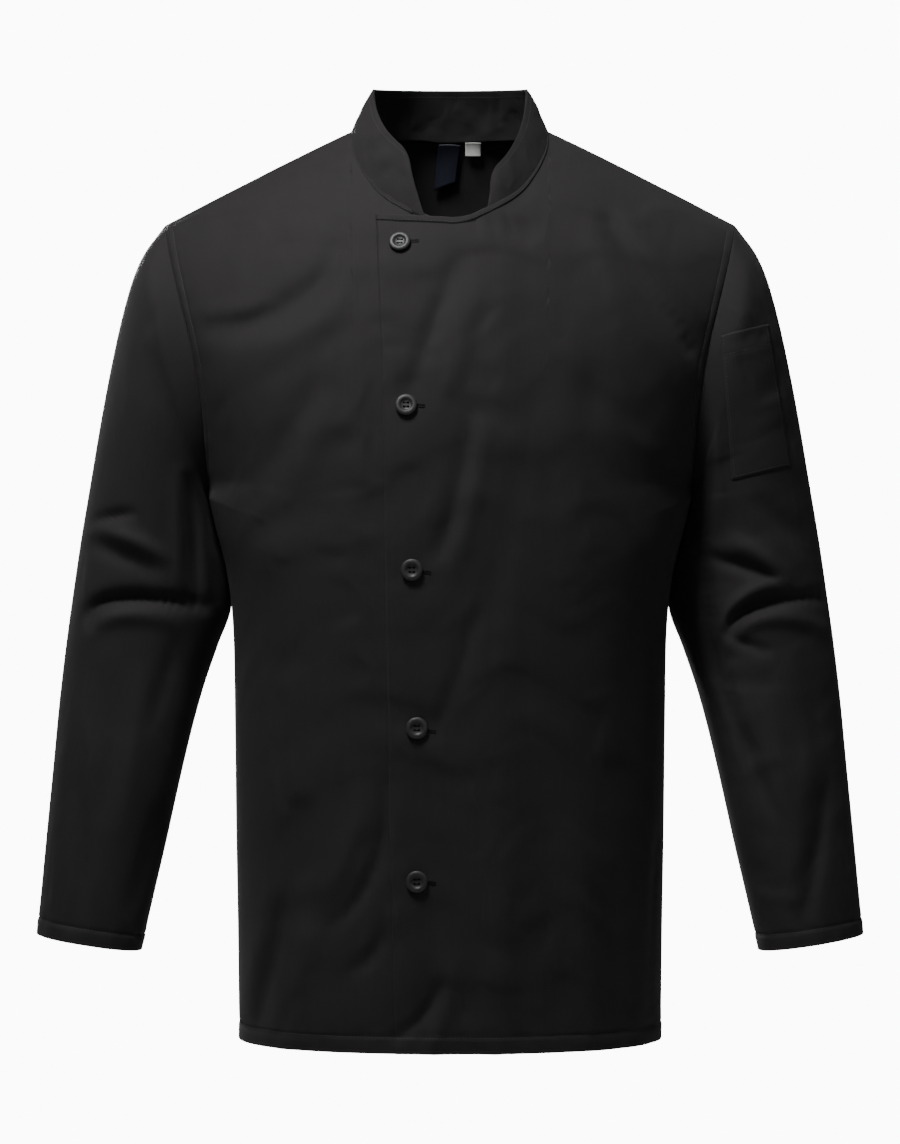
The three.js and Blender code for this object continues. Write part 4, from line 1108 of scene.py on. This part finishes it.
def sheet_size(name: str, points: Grid, wrap: bool) -> None:
    """Logs the width, length and area of a grid."""
    ring = np.concatenate([points, points[:, :1]], axis=1) if wrap else points
    across = np.linalg.norm(np.diff(ring, axis=1), axis=-1).sum(axis=1).max()
    down = np.linalg.norm(np.diff(points, axis=0), axis=-1).sum(axis=0).max()
    a, b = ring[1:, 1:] - ring[:-1, :-1], ring[1:, :-1] - ring[:-1, 1:]
    area = np.linalg.norm(np.cross(a, b), axis=-1).sum() / 2
    LOG.info("%s: %.0f x %.0f mm, area %.4f m2", name, across, down, area * MM * MM)


class Tailor:
    """Makes the jacket's objects: cloth shells that replace CAD nodes, and what is sewn to them."""

    def __init__(self) -> None:
        self.finishes = Finishes()

    def finish(self, piece: bpy.types.Object, finish: ClothFinish | PlainFinish, slot: str) -> None:
        """Gives a piece its finish and its body."""
        self.finishes.give(piece, finish, slot)
        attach(piece, "root")

    def cloth(self, node: str, piece: Patch, cut: Cut, held: str, rests_on: Sequence[str] = (),
              finish: ClothFinish | PlainFinish | None = None, slot: str = "cloth",
              wall: float = CLOTH_WALL, rounded: bool = False) -> None:
        """A sheet of cloth that replaces a CAD node.

        Args:
            node: name of the node.
            piece: the outside of the cloth.
            cut: its flat size, not used.
            held: how it is held, not used.
            rests_on: nodes that it is sewn to or lies on, not used.
            finish: its material, or None for the twill.
            slot: material slot, not used.
            wall: thickness, millimetres.
            rounded: whether the wall's edges are rounded.
        """
        made = grid_object(f"{node}_cloth", piece.points, piece.wrap, piece.uv)
        sheet_size(node, piece.points, piece.wrap)
        shell(made, wall, rounded)
        self.finish(made, finish or ClothFinish(), slot)
        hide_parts(node)

    def stitches(self, name: str, piece: Patch, rows: Grid, columns: Grid, lift: float = 0.06,
                 inside: float = 0.0) -> None:
        """Stitches along a path given in a patch's rows and columns.

        Args:
            name: object name.
            piece: the patch.
            rows: fractional rows of the path.
            columns: fractional columns of the path.
            lift: height of the thread over the cloth.
            inside: the wall's thickness where the stitches are on its inside, else 0.
        """
        points, normals = piece.at(*np.broadcast_arrays(np.asarray(rows, float), columns))
        if inside:
            points, normals = points - normals * inside, -normals
        self.finish(stitch_line(name, points, normals, lift), THREAD, "cloth")


@dataclass(frozen=True)
class FrontPanel:
    """One front: half of the torso's front and its share of the overlap, which the left front
    carries on top as its lap and the right front hides under it."""

    side: Side
    cut: Cut
    edge_dip: float = 0.5
    edge_width: float = 0.9

    def lap_start(self, s: Callable[[Grid], Grid], count: int) -> Grid:
        """Row at which each lap column meets the lap's top edge, by bisection on its z."""
        tip = LAP_EDGE[0][1]

        def below(t: Grid) -> Grid:
            p = FRONT.point(s(t), t)
            return p[..., 2] < LAP_TOP_Z + LAP_TOP_RISE * np.clip(p[..., 0] / tip, 0, 1)

        return bisect(below, np.zeros(count), np.full(count, float(UNDERARM)))

    def surface(self) -> Patch:
        """The panel's outside.

        Returns:
            Its patch.
        """
        start = FRONT.neck_row(HALF_COLUMNS)
        rows = torso_rows(start)
        shoulder = (HALF_COLUMNS >= NECK_S - 1e-9).astype(float)
        if self.side is Side.LEFT:
            share = 1 - np.arange(LAP_STEPS) / LAP_STEPS
            lap = self.lap_start(lambda t: lap_edge_s(t) * share, LAP_STEPS)
            lap_rows = torso_rows(lap)
            whole = np.broadcast_to(HALF_COLUMNS, rows.shape)
            s = np.concatenate([lap_edge_s(lap_rows) * share, whole], axis=1)
            rows = np.concatenate([lap_rows, rows], axis=1)
            shoulder = np.concatenate([np.zeros(LAP_STEPS), shoulder])
        else:
            hidden = HALF_COLUMNS[1 : LAP_STEPS // 2]
            hidden_rows = rows[:, 1 : LAP_STEPS // 2]
            rows = np.concatenate([rows[:, ::-1], hidden_rows], axis=1)
            s = np.broadcast_to(np.concatenate([-HALF_COLUMNS[::-1], hidden]), rows.shape)
            shoulder = np.concatenate([shoulder[::-1], np.zeros(len(hidden))])
        points = FRONT.point(s, rows)
        relief = panel_relief(points, rows, [self.side is Side.LEFT], shoulder)
        if self.side is Side.LEFT:
            relief += lap_rise(points[..., 0], LAYER)
            relief -= self.edge_dip * bell(edge_distance(points, 1, False), self.edge_width)
        return patch(points, uv=panel_uv(s, rows)).raised(relief)

    def build(self, tailor: Tailor) -> Patch:
        """Makes the panel with its hem and armhole stitching.

        Args:
            tailor: maker of the objects.

        Returns:
            The panel's outside.
        """
        name = f"front_{self.side.name.lower()}"
        piece = self.surface()
        tailor.cloth(name, piece, self.cut, "hung", [f"sleeve_{self.side.name.lower()}", "back"])
        sew_hem(tailor, name, piece, np.arange(piece.points.shape[1]))
        sew_armhole(tailor, name, piece, self.side is Side.LEFT)
        return piece


def sew_hem(tailor: Tailor, name: str, piece: Patch, columns: Grid) -> None:
    """Stitches along the hem's line, over the given columns."""
    rows = contour_rows(edge_distance(piece.points, 0, True), HEM_DEPTH)
    tailor.stitches(f"{name}_hem_stitches", piece, rows[columns], columns)


def sew_armhole(tailor: Tailor, name: str, piece: Patch, last: bool) -> None:
    """Stitches along an armhole edge, from the shoulder to the underarm."""
    gap = edge_distance(piece.points, 1, last)
    rows = np.arange(ARMHOLE_STEPS - 4)
    turned = gap.T if last else gap.T[::-1]
    columns = contour_rows(turned, ARMHOLE_STITCH)[rows]
    columns = columns if last else gap.shape[1] - 1 - columns
    end = "left" if last else "right"
    tailor.stitches(f"{name}_{end}_armhole_stitches", piece, rows, columns)


@dataclass(frozen=True)
class BackPanel:
    """The back: one plain piece, from armhole to armhole."""

    cut: Cut

    def surface(self) -> Patch:
        """The panel's outside, seen from behind.

        Returns:
            Its patch.
        """
        s = np.concatenate([HALF_COLUMNS[::-1], -HALF_COLUMNS[1:]])
        start = BACK.neck_row(s)
        rows = torso_rows(start)
        points = BACK.point(s, rows)
        shoulder = (np.abs(s) >= NECK_S - 1e-9).astype(float)
        relief = panel_relief(points, rows, [False, True], shoulder)
        return patch(points, uv=panel_uv(s, rows)).raised(relief)

    def build(self, tailor: Tailor) -> None:
        """Makes the back with its stitching.

        Args:
            tailor: maker of the objects.
        """
        piece = self.surface()
        tailor.cloth("back", piece, self.cut, "hung", ["front_left", "front_right"])
        sew_hem(tailor, "back", piece, np.arange(piece.points.shape[1]))
        for last in (False, True):
            sew_armhole(tailor, "back", piece, last)


@dataclass(frozen=True)
class Sleeve:
    """A one-piece sleeve with a turned cuff."""

    side: Side
    cut: Cut

    def build(self, tailor: Tailor) -> Patch:
        """Makes the sleeve and its cuff stitching.

        Args:
            tailor: maker of the objects.

        Returns:
            The sleeve's outside.
        """
        name = f"sleeve_{self.side.name.lower()}"
        surface = LEFT_SLEEVE if self.side is Side.LEFT else RIGHT_SLEEVE
        points = surface.point(SLEEVE_COLUMNS, SLEEVE_ROWS)
        if self.side is Side.LEFT:
            points = points[:, ::-1]
        along = edge_distance(points, 1, False)
        relief = SEAM_RISE + hem_relief(edge_distance(points, 0, True), along)
        relief = relief * tuck_in(edge_distance(points, 0, False))
        piece = patch(points, wrap=True).raised(relief)
        tailor.cloth(name, piece, self.cut, "hung", [f"front_{self.side.name.lower()}", "back"])
        gap = edge_distance(piece.points, 0, True)
        rows = contour_rows(gap, HEM_DEPTH)
        tailor.stitches(f"{name}_cuff_stitches", piece, rows, np.arange(len(rows)))
        return piece


@dataclass(frozen=True)
class Collar:
    """Stand collar: a band from its foot on the neck seam to a smaller oval top, open in front,
    with rounded front corners that hang a little differently on the two sides."""

    cut: Cut
    wall: float = 2.0
    top_half_width: float = 65.5
    top_depth: dict[Half, float] = field(default_factory=lambda: {Half.FRONT: 70, Half.BACK: 62})
    side_z: float = 35
    back_rise: float = 6
    fall: dict[Side, float] = field(default_factory=lambda: {Side.RIGHT: 0.97, Side.LEFT: 1.25})
    corner: dict[Side, float] = field(default_factory=lambda: {Side.RIGHT: 15, Side.LEFT: 11})
    end_turn: dict[Side, float] = field(default_factory=lambda: {Side.RIGHT: 15, Side.LEFT: 22})
    lean: dict[Side, float] = field(default_factory=lambda: {Side.RIGHT: 15, Side.LEFT: 9})
    lean_reach: float = 55
    swell: float = 1.5
    ripple: float = 0.9
    ripple_height: float = 0.86
    ripple_reach: float = 0.16
    roll: float = 0.8
    crumple: tuple[int, float, float] = (31, 30, 0.5)
    columns: int = 250
    rows: int = 26
    topstitch: float = 5.5
    tuck: float = 2.6

    def foot(self, turn: Grid) -> Grid:
        """The neck seam: points of the torso on the neck ellipse.

        Args:
            turn: angle from the front middle, radians, growing to the wearer's left.

        Returns:
            The points.
        """
        s = ridge_s(NECK_HALF_WIDTH * np.abs(np.sin(turn))) * np.sign(np.sin(turn))
        ahead = FRONT.point(s, FRONT.neck_row(s))
        behind = BACK.point(s, BACK.neck_row(s))
        points = np.where((np.cos(turn) > 0)[:, None], ahead, behind)
        lifted = (np.cos(turn) > 0) * (turn > 0) * lap_rise(points[:, 0], LAYER)
        return points + FRONT.normal(s, FRONT.neck_row(s)) * lifted[:, None]

    def surface(self) -> Patch:
        """The collar's outside, from the wearer's left front round the back to the right front.

        Returns:
            Its patch.
        """
        left_end, right_end = (math.radians(self.end_turn[side]) for side in (Side.LEFT, Side.RIGHT))
        ends = (left_end, 2 * math.pi - right_end)
        turn = np.linspace(*ends, self.columns)
        foot = self.foot(turn)
        left = foot[:, 0] > 0
        at = np.arctan2(foot[:, 0] / NECK_HALF_WIDTH, -foot[:, 1] / NECK_DEPTH[Half.FRONT])
        reach = math.radians(self.lean_reach)
        near_left = 1 - smoothstep(turn - ends[0], 0, reach)
        near_right = 1 - smoothstep(ends[1] - turn, 0, reach)
        at = at + math.radians(self.lean[Side.LEFT]) * near_left
        at = at - math.radians(self.lean[Side.RIGHT]) * near_right
        ahead = np.abs(at) < math.pi / 2
        y = -np.where(ahead, self.top_depth[Half.FRONT], self.top_depth[Half.BACK]) * np.cos(at)
        fall = np.where(left, self.fall[Side.LEFT], self.fall[Side.RIGHT])
        rise = np.where(y < 0, y * fall, self.back_rise * y / self.top_depth[Half.BACK])
        top = np.stack([self.top_half_width * np.sin(at), y, self.side_z + rise], -1)
        run = edge_distance(top[None], 1, False)[0]
        for side, gap in ((Side.LEFT, run), (Side.RIGHT, run[-1] - run)):
            radius = self.corner[side]
            share = np.clip(1 - gap / radius, 0, 1)
            top[:, 2] -= radius * (1 - np.sqrt(1 - share**2 + 1e-9))
        foot = foot - unit(top - foot) * self.tuck
        v = np.linspace(0, 1, self.rows)[:, None]
        out = unit(np.stack([top[:, 0], top[:, 1], np.zeros(len(top))], -1))
        points = top + (foot - top) * v[..., None]
        arch = 4 * v * (1 - v)
        behind = smoothstep(points[..., 1], -20, 30)
        wave = np.sin(run / 5.2 + 2.1 * np.sin(run / 31)) * np.sin(run / 17 + 0.6)
        ripple = self.ripple * wave * bell(v - self.ripple_height, self.ripple_reach)
        roll = self.roll * np.sin(run / 14 + 5 * v) * arch * (1 - v)
        bulge = (self.swell + crumple(points, *self.crumple)) * arch + behind * (ripple + roll)
        return patch(points + out * bulge[..., None])

    def build(self, tailor: Tailor) -> None:
        """Makes the collar, stitched below its top on both faces.

        Args:
            tailor: maker of the objects.
        """
        piece = self.surface()
        tailor.cloth("collar", piece, self.cut, "hung", ["back", "front_left", "front_right"],
                     wall=self.wall, rounded=True)
        height = edge_distance(piece.points, 0, False)[-1]
        columns = np.linspace(5, self.columns - 6, 2 * self.columns)
        rows = self.topstitch / np.interp(columns, np.arange(self.columns), height) * (self.rows - 1)
        tailor.stitches("collar_outer_stitches", piece, rows, columns)
        tailor.stitches("collar_inner_stitches", piece, rows, columns, inside=self.wall)


@dataclass(frozen=True)
class NeckTape:
    """A bound strip that covers the neck seam on one front, stitched along both edges."""

    side: Side
    cut: Cut
    width: float = 6.5
    height: float = 1.25
    edge_lift: float = 0.1
    lines: tuple[float, ...] = (-0.02, 0, 0.06, 0.14, 0.3, 0.5, 0.7, 0.86, 0.94, 1, 1.02)
    lower_line: int = 7
    upper_line: int = 3

    def build(self, tailor: Tailor, panel: Patch) -> None:
        """Makes the tape on its panel's top edge.

        Args:
            tailor: maker of the objects.
            panel: the panel's outside.
        """
        name = f"neck_tape_{self.side.name.lower()}"
        if self.side is Side.LEFT:
            columns = slice(0, LAP_STEPS + NECK_STEPS + 1)
        else:
            first = len(HALF_COLUMNS) - 1 - NECK_STEPS
            columns = slice(first, first + NECK_STEPS - 8)
        top, normal = panel.points[0, columns], panel.normals[1, columns]
        down = unit(panel.points[2, columns] - top)
        v = np.array(self.lines)[:, None, None]
        bow = np.clip(1 - np.abs(2 * v - 1) ** 5, 0, 1) ** 0.5 * self.height + self.edge_lift
        points = top + down * self.width * v + normal * bow
        piece = patch(points)
        node = f"front_{self.side.name.lower()}"
        tailor.cloth(name, piece, self.cut, "laid", [node], wall=0.5)
        across = np.arange(points.shape[1])
        for end, line in (("lower", self.lower_line), ("upper", self.upper_line)):
            tailor.stitches(f"{name}_{end}_stitches", piece, line, across, lift=0.05)


@dataclass(frozen=True)
class SleevePocket:
    """Patch pocket on the left upper sleeve, between four corners [x, z] of the front view."""

    cut: Cut
    corners: tuple = ((225.8, -178.5), (267, -167.4), (236, -299), (285.8, -286.8))
    rows: int = 64
    columns: int = 30
    edge: float = 2.4
    mouth: float = 17.0
    layer: float = 0.9
    seam_dip: float = 0.25
    mouth_dip: float = 0.3

    def build(self, tailor: Tailor, sleeve: Patch) -> None:
        """Makes the pocket, sewn down along three edges and hemmed at its mouth.

        Args:
            tailor: maker of the objects.
            sleeve: the left sleeve's outside.
        """
        place = sleeve.seen_place(spread(self.corners, self.rows, self.columns))
        points, normals = sleeve.at(place[..., 0], place[..., 1])
        flat = Patch(points, normals)
        gaps = [edge_distance(points, axis, last) for axis, last in ((0, True), (1, False), (1, True))]
        sewn = np.minimum.reduce(gaps)
        mouth = edge_distance(points, 0, False)
        raised = self.layer - self.seam_dip * (bell(sewn, 1.3) + bell(sewn - self.edge, 1))
        raised += self.layer * bell(mouth, 6) * smoothstep(np.minimum(gaps[1], gaps[2]), 0, 14)
        raised -= self.mouth_dip * bell(mouth - self.mouth, 1.1)
        piece = flat.raised(raised)
        tailor.cloth("sleeve_pocket", piece, self.cut, "laid", ["sleeve_left"], wall=0.7)
        inset = self.edge / (gaps[1][0, -1] / (self.columns - 1))
        low_row = self.rows - 1 - self.edge / (mouth[-1, 0] / (self.rows - 1))
        down, across = np.linspace(0, low_row, 90), np.linspace(inset, self.columns - 1 - inset, 60)
        tailor.stitches("pocket_inner_stitches", piece, down, inset)
        tailor.stitches("pocket_outer_stitches", piece, down, self.columns - 1 - inset)
        tailor.stitches("pocket_lower_stitches", piece, low_row, across)
        mouth_row = self.mouth / mouth[-1, 0] * (self.rows - 1)
        tailor.stitches("pocket_mouth_stitches", piece, mouth_row, across)


PLACE_TURNS = 9
PLACE_STEPS = 22


def torso_place(surface: TorsoHalf, x: float, z: float) -> tuple[Grid, Grid]:
    """Column and row of a torso surface with a given x and z, by bisection in turn. Folds move the
    cloth along Y alone, so the smooth surface is enough."""
    s, none, one = np.zeros(1), np.zeros(1), np.ones(1)
    for _ in range(PLACE_TURNS):
        t = bisect(lambda rows: surface.smooth(s, rows)[..., 2] <= z, none, one * LAST_ROW, PLACE_STEPS)
        s = bisect(lambda across: surface.smooth(across, t)[..., 0] >= x, -one, one, PLACE_STEPS)
    return s, t


@dataclass(frozen=True)
class NeckLabel:
    """A bare woven label that hangs inside the back from the neck seam. Its corners are [x, z] in
    the front view: upper right side, upper left side, lower right side, lower left side."""

    node: str
    slot: str
    finish: PlainFinish
    corners: Sequence[tuple[float, float]]
    cut: Cut
    gap: float = 2.4
    cup: float = 0.8
    curl: float = 1.1
    rows: int = 22
    columns: int = 14

    def build(self, tailor: Tailor) -> None:
        """Makes the label.

        Args:
            tailor: maker of the objects.
        """
        places = np.array([np.concatenate(torso_place(BACK, x, z)) for x, z in self.corners])
        column, row = np.moveaxis(spread(places, self.rows, self.columns), -1, 0)
        u, v = np.linspace(0, 1, self.columns), np.linspace(0, 1, self.rows)[:, None]
        depth = CLOTH_WALL + self.gap + self.cup * np.sin(math.pi * u) * v + self.curl * v**2
        points = BACK.point(column, row) - BACK.normal(column, row) * depth[..., None]
        tailor.cloth(self.node, patch(points), self.cut, "hung", ["back"], self.finish, self.slot,
                     wall=0.4)


@dataclass(frozen=True)
class Buttons:
    """Four-hole buttons on the lap: a turned disc with a rounded rim and a sunken middle, holes cut
    through it, and thread across the holes."""

    radius: float = 9.0
    height: float = 3.4
    hole: float = 1.0
    offset: float = 1.75
    dish: float = 1.5
    gap: float = 0.4
    thread: float = 0.45
    strand_over: float = 1.3
    strand_bow: float = 0.28
    strand_apart: float = 0.24
    segments: int = 72

    def profile(self) -> Grid:
        """Radius and height of the turned shape, from the middle of its back to its front's."""
        r, h = self.radius, self.height
        back = [(0, 0), (r - 2.4, 0), (r - 1.2, 0.25), (r - 0.35, 1.0), (r, 1.7), (r - 0.1, 2.3)]
        rim = [(r - 0.6, h - 0.5), (r - 1.4, h - 0.15), (r - 2.4, h), (r - 3.3, h - 0.06)]
        low = h - self.dish
        dish = [(r - 3.9, h - 0.35), (r - 4.4, h - 1), (r - 5.1, low + 0.06), (2.0, low), (0, low)]
        return np.array(back + rim + dish)

    def turned(self, curve: Grid, name: str, places: Sequence[tuple] = ((0, 0),)) -> bpy.types.Object:
        """A closed solid of revolution about Z, once at each place, as one mesh."""
        turn = np.linspace(0, 2 * math.pi, self.segments, endpoint=False)
        ring = np.stack([np.cos(turn), np.sin(turn), np.zeros_like(turn)], -1)
        inner = curve[1:-1]
        body = ring[None] * inner[:, None, :1] + np.array([0, 0, 1]) * inner[:, None, 1:]
        ends = np.array([[0, 0, curve[0, 1]], [0, 0, curve[-1, 1]]])
        one = np.concatenate([body.reshape(-1, 3), ends])
        ids = np.arange(len(inner) * self.segments).reshape(len(inner), -1)
        nxt = np.roll(ids, -1, axis=1)
        quads = np.stack([ids[:-1], nxt[:-1], nxt[1:], ids[1:]], -1).reshape(-1, 4)
        foot, tip = len(one) - 2, len(one) - 1
        caps = [(foot, b, a) for a, b in zip(ids[0].tolist(), nxt[0].tolist())]
        caps += [(tip, a, b) for a, b in zip(ids[-1].tolist(), nxt[-1].tolist())]
        points, faces = [], []
        for k, (x, y) in enumerate(places):
            points += (one + np.array([x, y, 0])).tolist()
            base = k * len(one)
            faces += [[i + base for i in face] for face in quads.tolist() + caps]
        return mesh_object(name, np.array(points), faces)

    def mesh(self) -> bpy.types.Mesh:
        """The disc less its holes, in millimetres about its own Z axis.

        Returns:
            A mesh that each button copies.
        """
        disc = self.turned(self.profile(), "button_disc")
        drill = np.array([(0, -1), (self.hole, -1), (self.hole, self.height + 1), (0, self.height + 1)])
        places = [(x * self.offset, y * self.offset) for x in (-1, 1) for y in (-1, 1)]
        drills = self.turned(drill, "button_drills", places)
        cut = disc.modifiers.new("holes", "BOOLEAN")
        cut.object = drills
        cut.operation = "DIFFERENCE"
        cut.solver = "EXACT"
        graph = bpy.context.evaluated_depsgraph_get()
        made = bpy.data.meshes.new_from_object(disc.evaluated_get(graph))
        for made_object in (disc, drills):
            old = made_object.data
            bpy.data.objects.remove(made_object)
            bpy.data.meshes.remove(old)
        made.polygons.foreach_set("use_smooth", np.ones(len(made.polygons), bool))
        made.set_sharp_from_angle(angle=math.radians(35))
        return made

    def build(self, tailor: Tailor, places: Sequence[tuple[Grid, Grid]]) -> None:
        """Makes the buttons and their thread.

        Args:
            tailor: maker of the objects.
            places: column and row of each on the torso's front.
        """
        disc = self.mesh()
        for index, (s, t) in enumerate(places):
            up = FRONT.normal(s, t)[0]
            place = FRONT.point(s, t)[0] + up * (LAYER + SEAM_RISE + self.gap)
            across = unit(np.cross(np.array([0, 0, 1.0]), up))
            axes = np.stack([across, np.cross(up, across), up])
            name = f"button_{index + 1}"
            mesh = disc.copy()
            flat = np.empty(len(mesh.vertices) * 3)
            mesh.vertices.foreach_get("co", flat)
            mesh.vertices.foreach_set("co", ((flat.reshape(-1, 3) @ axes + place) * MM).ravel())
            mesh.update()
            made = linked(f"{name}_disc", mesh)
            tailor.finish(made, HORN, "button")
            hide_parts(name)
            self.sew(tailor, name, place, axes)
            LOG.info("%s placed", name)
        bpy.data.meshes.remove(disc)

    def sew(self, tailor: Tailor, name: str, place: Grid, axes: Grid) -> None:
        """Thread: two strands across each pair of holes, standing out of the sunken middle."""
        length = 2 * self.offset + self.strand_over
        shape, faces = bead(length, self.thread, self.thread, rings=9, sides=8)
        shape[:, 2] -= self.strand_bow * (shape[:, 0] / self.offset) ** 2
        lays = (-self.strand_apart, self.strand_apart)
        offsets = [(0, side * self.offset + lay) for side in (-1, 1) for lay in lays]
        local = np.array([(x, y, self.height - self.dish + 0.1) for x, y in offsets])
        places = place + local @ axes
        made = joined_copies(f"{name}_thread", shape, faces, places, np.broadcast_to(axes, (4, 3, 3)))
        # The strands take the darkened thread, which is painted shade of the button's holes.
        tailor.finish(made, PURL_WITH_PAINTED_SHADE, "button")


@dataclass(frozen=True)
class Buttonholes:
    """Level slits in the lap, each edged with close purl stitches; the button hides its middle."""

    left: float = -6.0
    right: float = 15.5
    half_width: float = 0.95
    pitch: float = 0.55
    purl: tuple[float, float, float] = (1.7, 0.5, 0.5)
    lift: float = 0.12

    def build(self, tailor: Tailor, places: Sequence[tuple[Grid, Grid]]) -> None:
        """Makes the purl stitches along both lips of each slit.

        Args:
            tailor: maker of the objects.
            places: column and row of each button on the torso's front.
        """
        shape, faces = bead(*self.purl)
        count = int((self.right - self.left) / self.pitch)
        along = np.linspace(self.left, self.right, count)
        for index, (s, t) in enumerate(places):
            slope = (FRONT.smooth(s + 0.01, t) - FRONT.smooth(s, t))[0, 0] / 0.01
            column = s + along / slope
            row = np.full_like(column, t[0])
            points = FRONT.point(column, row)
            normals = FRONT.normal(column, row)
            points = points + normals * (LAYER + SEAM_RISE + self.lift)
            way = unit(np.cross(np.cross(normals, np.array([0, 0, 1.0])), normals))
            side = np.cross(normals, way)
            axes = np.stack([way, side, normals], 1)
            lips = np.concatenate([points + way * self.half_width, points - way * self.half_width])
            axes = np.concatenate([axes, axes])
            made = joined_copies(f"buttonhole_{index + 1}_purl", shape, faces, lips, axes)
            # The purl takes the darkened thread, which is painted shade of the slit between its lips.
            tailor.finish(made, PURL_WITH_PAINTED_SHADE, "cloth")
            LOG.info("buttonhole %d worked", index + 1)


@dataclass(frozen=True)
class Lamp:
    """One square soft lamp that faces a target, in metres and watts."""

    name: str
    place: tuple[float, float, float]
    target: tuple[float, float, float]
    size: float
    watts: float


@dataclass
class Stage:
    """Round pale floor that sweeps up all around the jacket, soft lamps and the camera."""

    floor_z: float = -1.3
    floor_radius: float = 4.4
    sweep: float = 2.2
    height: float = 4.6
    turns: int = 96
    camera_place: tuple[float, float, float] = (0.0, -3.3, -0.3757)
    lens: float = 122.16
    film_height: float = 36.0
    glow: float = 11
    paper: tuple[float, float, float, float] = (0.5, 0.5, 0.5, 1)
    glow_around: float = 0.01
    surround: float = 0.03
    lamps: tuple[Lamp, ...] = (
        Lamp("key", (-0.5, -0.82, 1.3), (0.0, 0.0, -0.1), 0.5, 60),
        Lamp("fill", (1.9, -1.5, 0.7), (0.0, 0.0, -0.4), 0.9, 5),
        Lamp("front", (0.1, -2.6, 0.8), (0.0, 0.0, 0.0), 0.8, 6),
        Lamp("top", (0.1, -0.3, 1.5), (0.0, 0.0, -0.2), 0.8, 3),
        Lamp("back_key", (-0.6, 1.65, 0.3), (0.0, 0.1, -0.4), 0.4, 32),
        Lamp("back_fill", (-1.9, 1.7, 0.0), (0.0, 0.0, -0.5), 0.9, 5),
    )

    def build(self) -> None:
        """Makes the floor, the world, the lamps and the camera."""
        self.floor()
        self.world()
        for lamp in self.lamps:
            self.lamp(lamp)
        self.camera()

    def floor(self) -> None:
        """A floor and wall of glowing paper, one profile turned about the jacket.

        The profile is flat out to the floor's radius, bends up through a quarter of a circle
        and ends in a short wall.
        """
        bend = np.linspace(0, math.pi / 2, 24)
        far = self.floor_radius + self.sweep
        radius = np.concatenate([[0.001], self.floor_radius + self.sweep * np.sin(bend), [far]])
        z = np.concatenate([[0], self.sweep * (1 - np.cos(bend)), [self.height]]) + self.floor_z
        turn = np.linspace(0, 2 * math.pi, self.turns + 1)
        ring = np.stack([np.cos(turn), np.sin(turn)], -1)
        grid = np.concatenate([
            radius[:, None, None] * ring, np.broadcast_to(z[:, None, None], (len(z), len(turn), 1)),
        ], -1)
        made = grid_object("floor", grid / MM)
        material, tree, shader = new_material("white paper")
        seen = add_node(tree, "ShaderNodeLightPath", {}, "Is Camera Ray")
        glow = {"Value": seen, "To Min": self.glow_around, "To Max": self.glow}
        feed(tree, shader, {
            "Base Color": self.paper,
            "Roughness": 0.9,
            "Emission Color": (1, 1, 1, 1),
            "Emission Strength": add_node(tree, "ShaderNodeMapRange", glow, "Result"),
        })
        made.data.materials.append(material)

    def world(self) -> None:
        """An even pale surround."""
        world = bpy.data.worlds.new("studio")
        world.use_nodes = True
        shade = world.node_tree.nodes["Background"]
        shade.inputs["Color"].default_value = (1, 1, 1, 1)
        shade.inputs["Strength"].default_value = self.surround
        bpy.context.scene.world = world

    def lamp(self, lamp: Lamp) -> None:
        """Hangs one square area lamp.

        Args:
            lamp: its place, target, size and power.
        """
        data = bpy.data.lights.new(lamp.name, "AREA")
        data.size = lamp.size
        data.energy = lamp.watts
        made = linked(lamp.name, data)
        made.location = lamp.place
        way = Vector(lamp.target) - Vector(lamp.place)
        made.rotation_euler = way.to_track_quat("-Z", "Y").to_euler()

    def camera(self) -> None:
        """A level camera in front of the jacket."""
        data = bpy.data.cameras.new("camera")
        data.sensor_fit = "VERTICAL"
        data.sensor_height = self.film_height
        data.lens = self.lens
        made = linked("camera", data)
        made.location = self.camera_place
        made.rotation_euler = (math.pi / 2, 0, 0)
        bpy.context.scene.camera = made


def main() -> None:
    """Builds the jacket in order, from the panels to what is sewn on them, and its stage."""
    logging.basicConfig(level=logging.INFO, format="%(name)s: %(message)s")
    tailor = Tailor()
    left = FrontPanel(Side.LEFT, Cut(0.394, 0.812, 0.227)).build(tailor)
    right = FrontPanel(Side.RIGHT, Cut(0.387, 0.811, 0.2267)).build(tailor)
    BackPanel(Cut(0.604, 0.835, 0.3818)).build(tailor)
    sleeve = Sleeve(Side.LEFT, Cut(0.583, 0.618, 0.187)).build(tailor)
    Sleeve(Side.RIGHT, Cut(0.583, 0.617, 0.1866)).build(tailor)
    Collar(Cut(0.501, 0.046, 0.0173)).build(tailor)
    NeckTape(Side.LEFT, Cut(0.218, 0.01, 0.0014)).build(tailor, left)
    NeckTape(Side.RIGHT, Cut(0.115, 0.01, 0.0007)).build(tailor, right)
    SleevePocket(Cut(0.056, 0.124, 0.006)).build(tailor, sleeve)
    NeckLabel("neck_label", "label", NAVY, LABEL_CORNERS, Cut(0.0197, 0.0365)).build(tailor)
    NeckLabel("size_tag", "tag", GREY, TAG_CORNERS, Cut(0.0138, 0.0115)).build(tailor)
    places = [torso_place(FRONT, x, z) for x, z in BUTTON_PLACES]
    Buttons().build(tailor, places)
    Buttonholes().build(tailor, places)
    Stage().build()


if __name__ == "__main__":
    main()
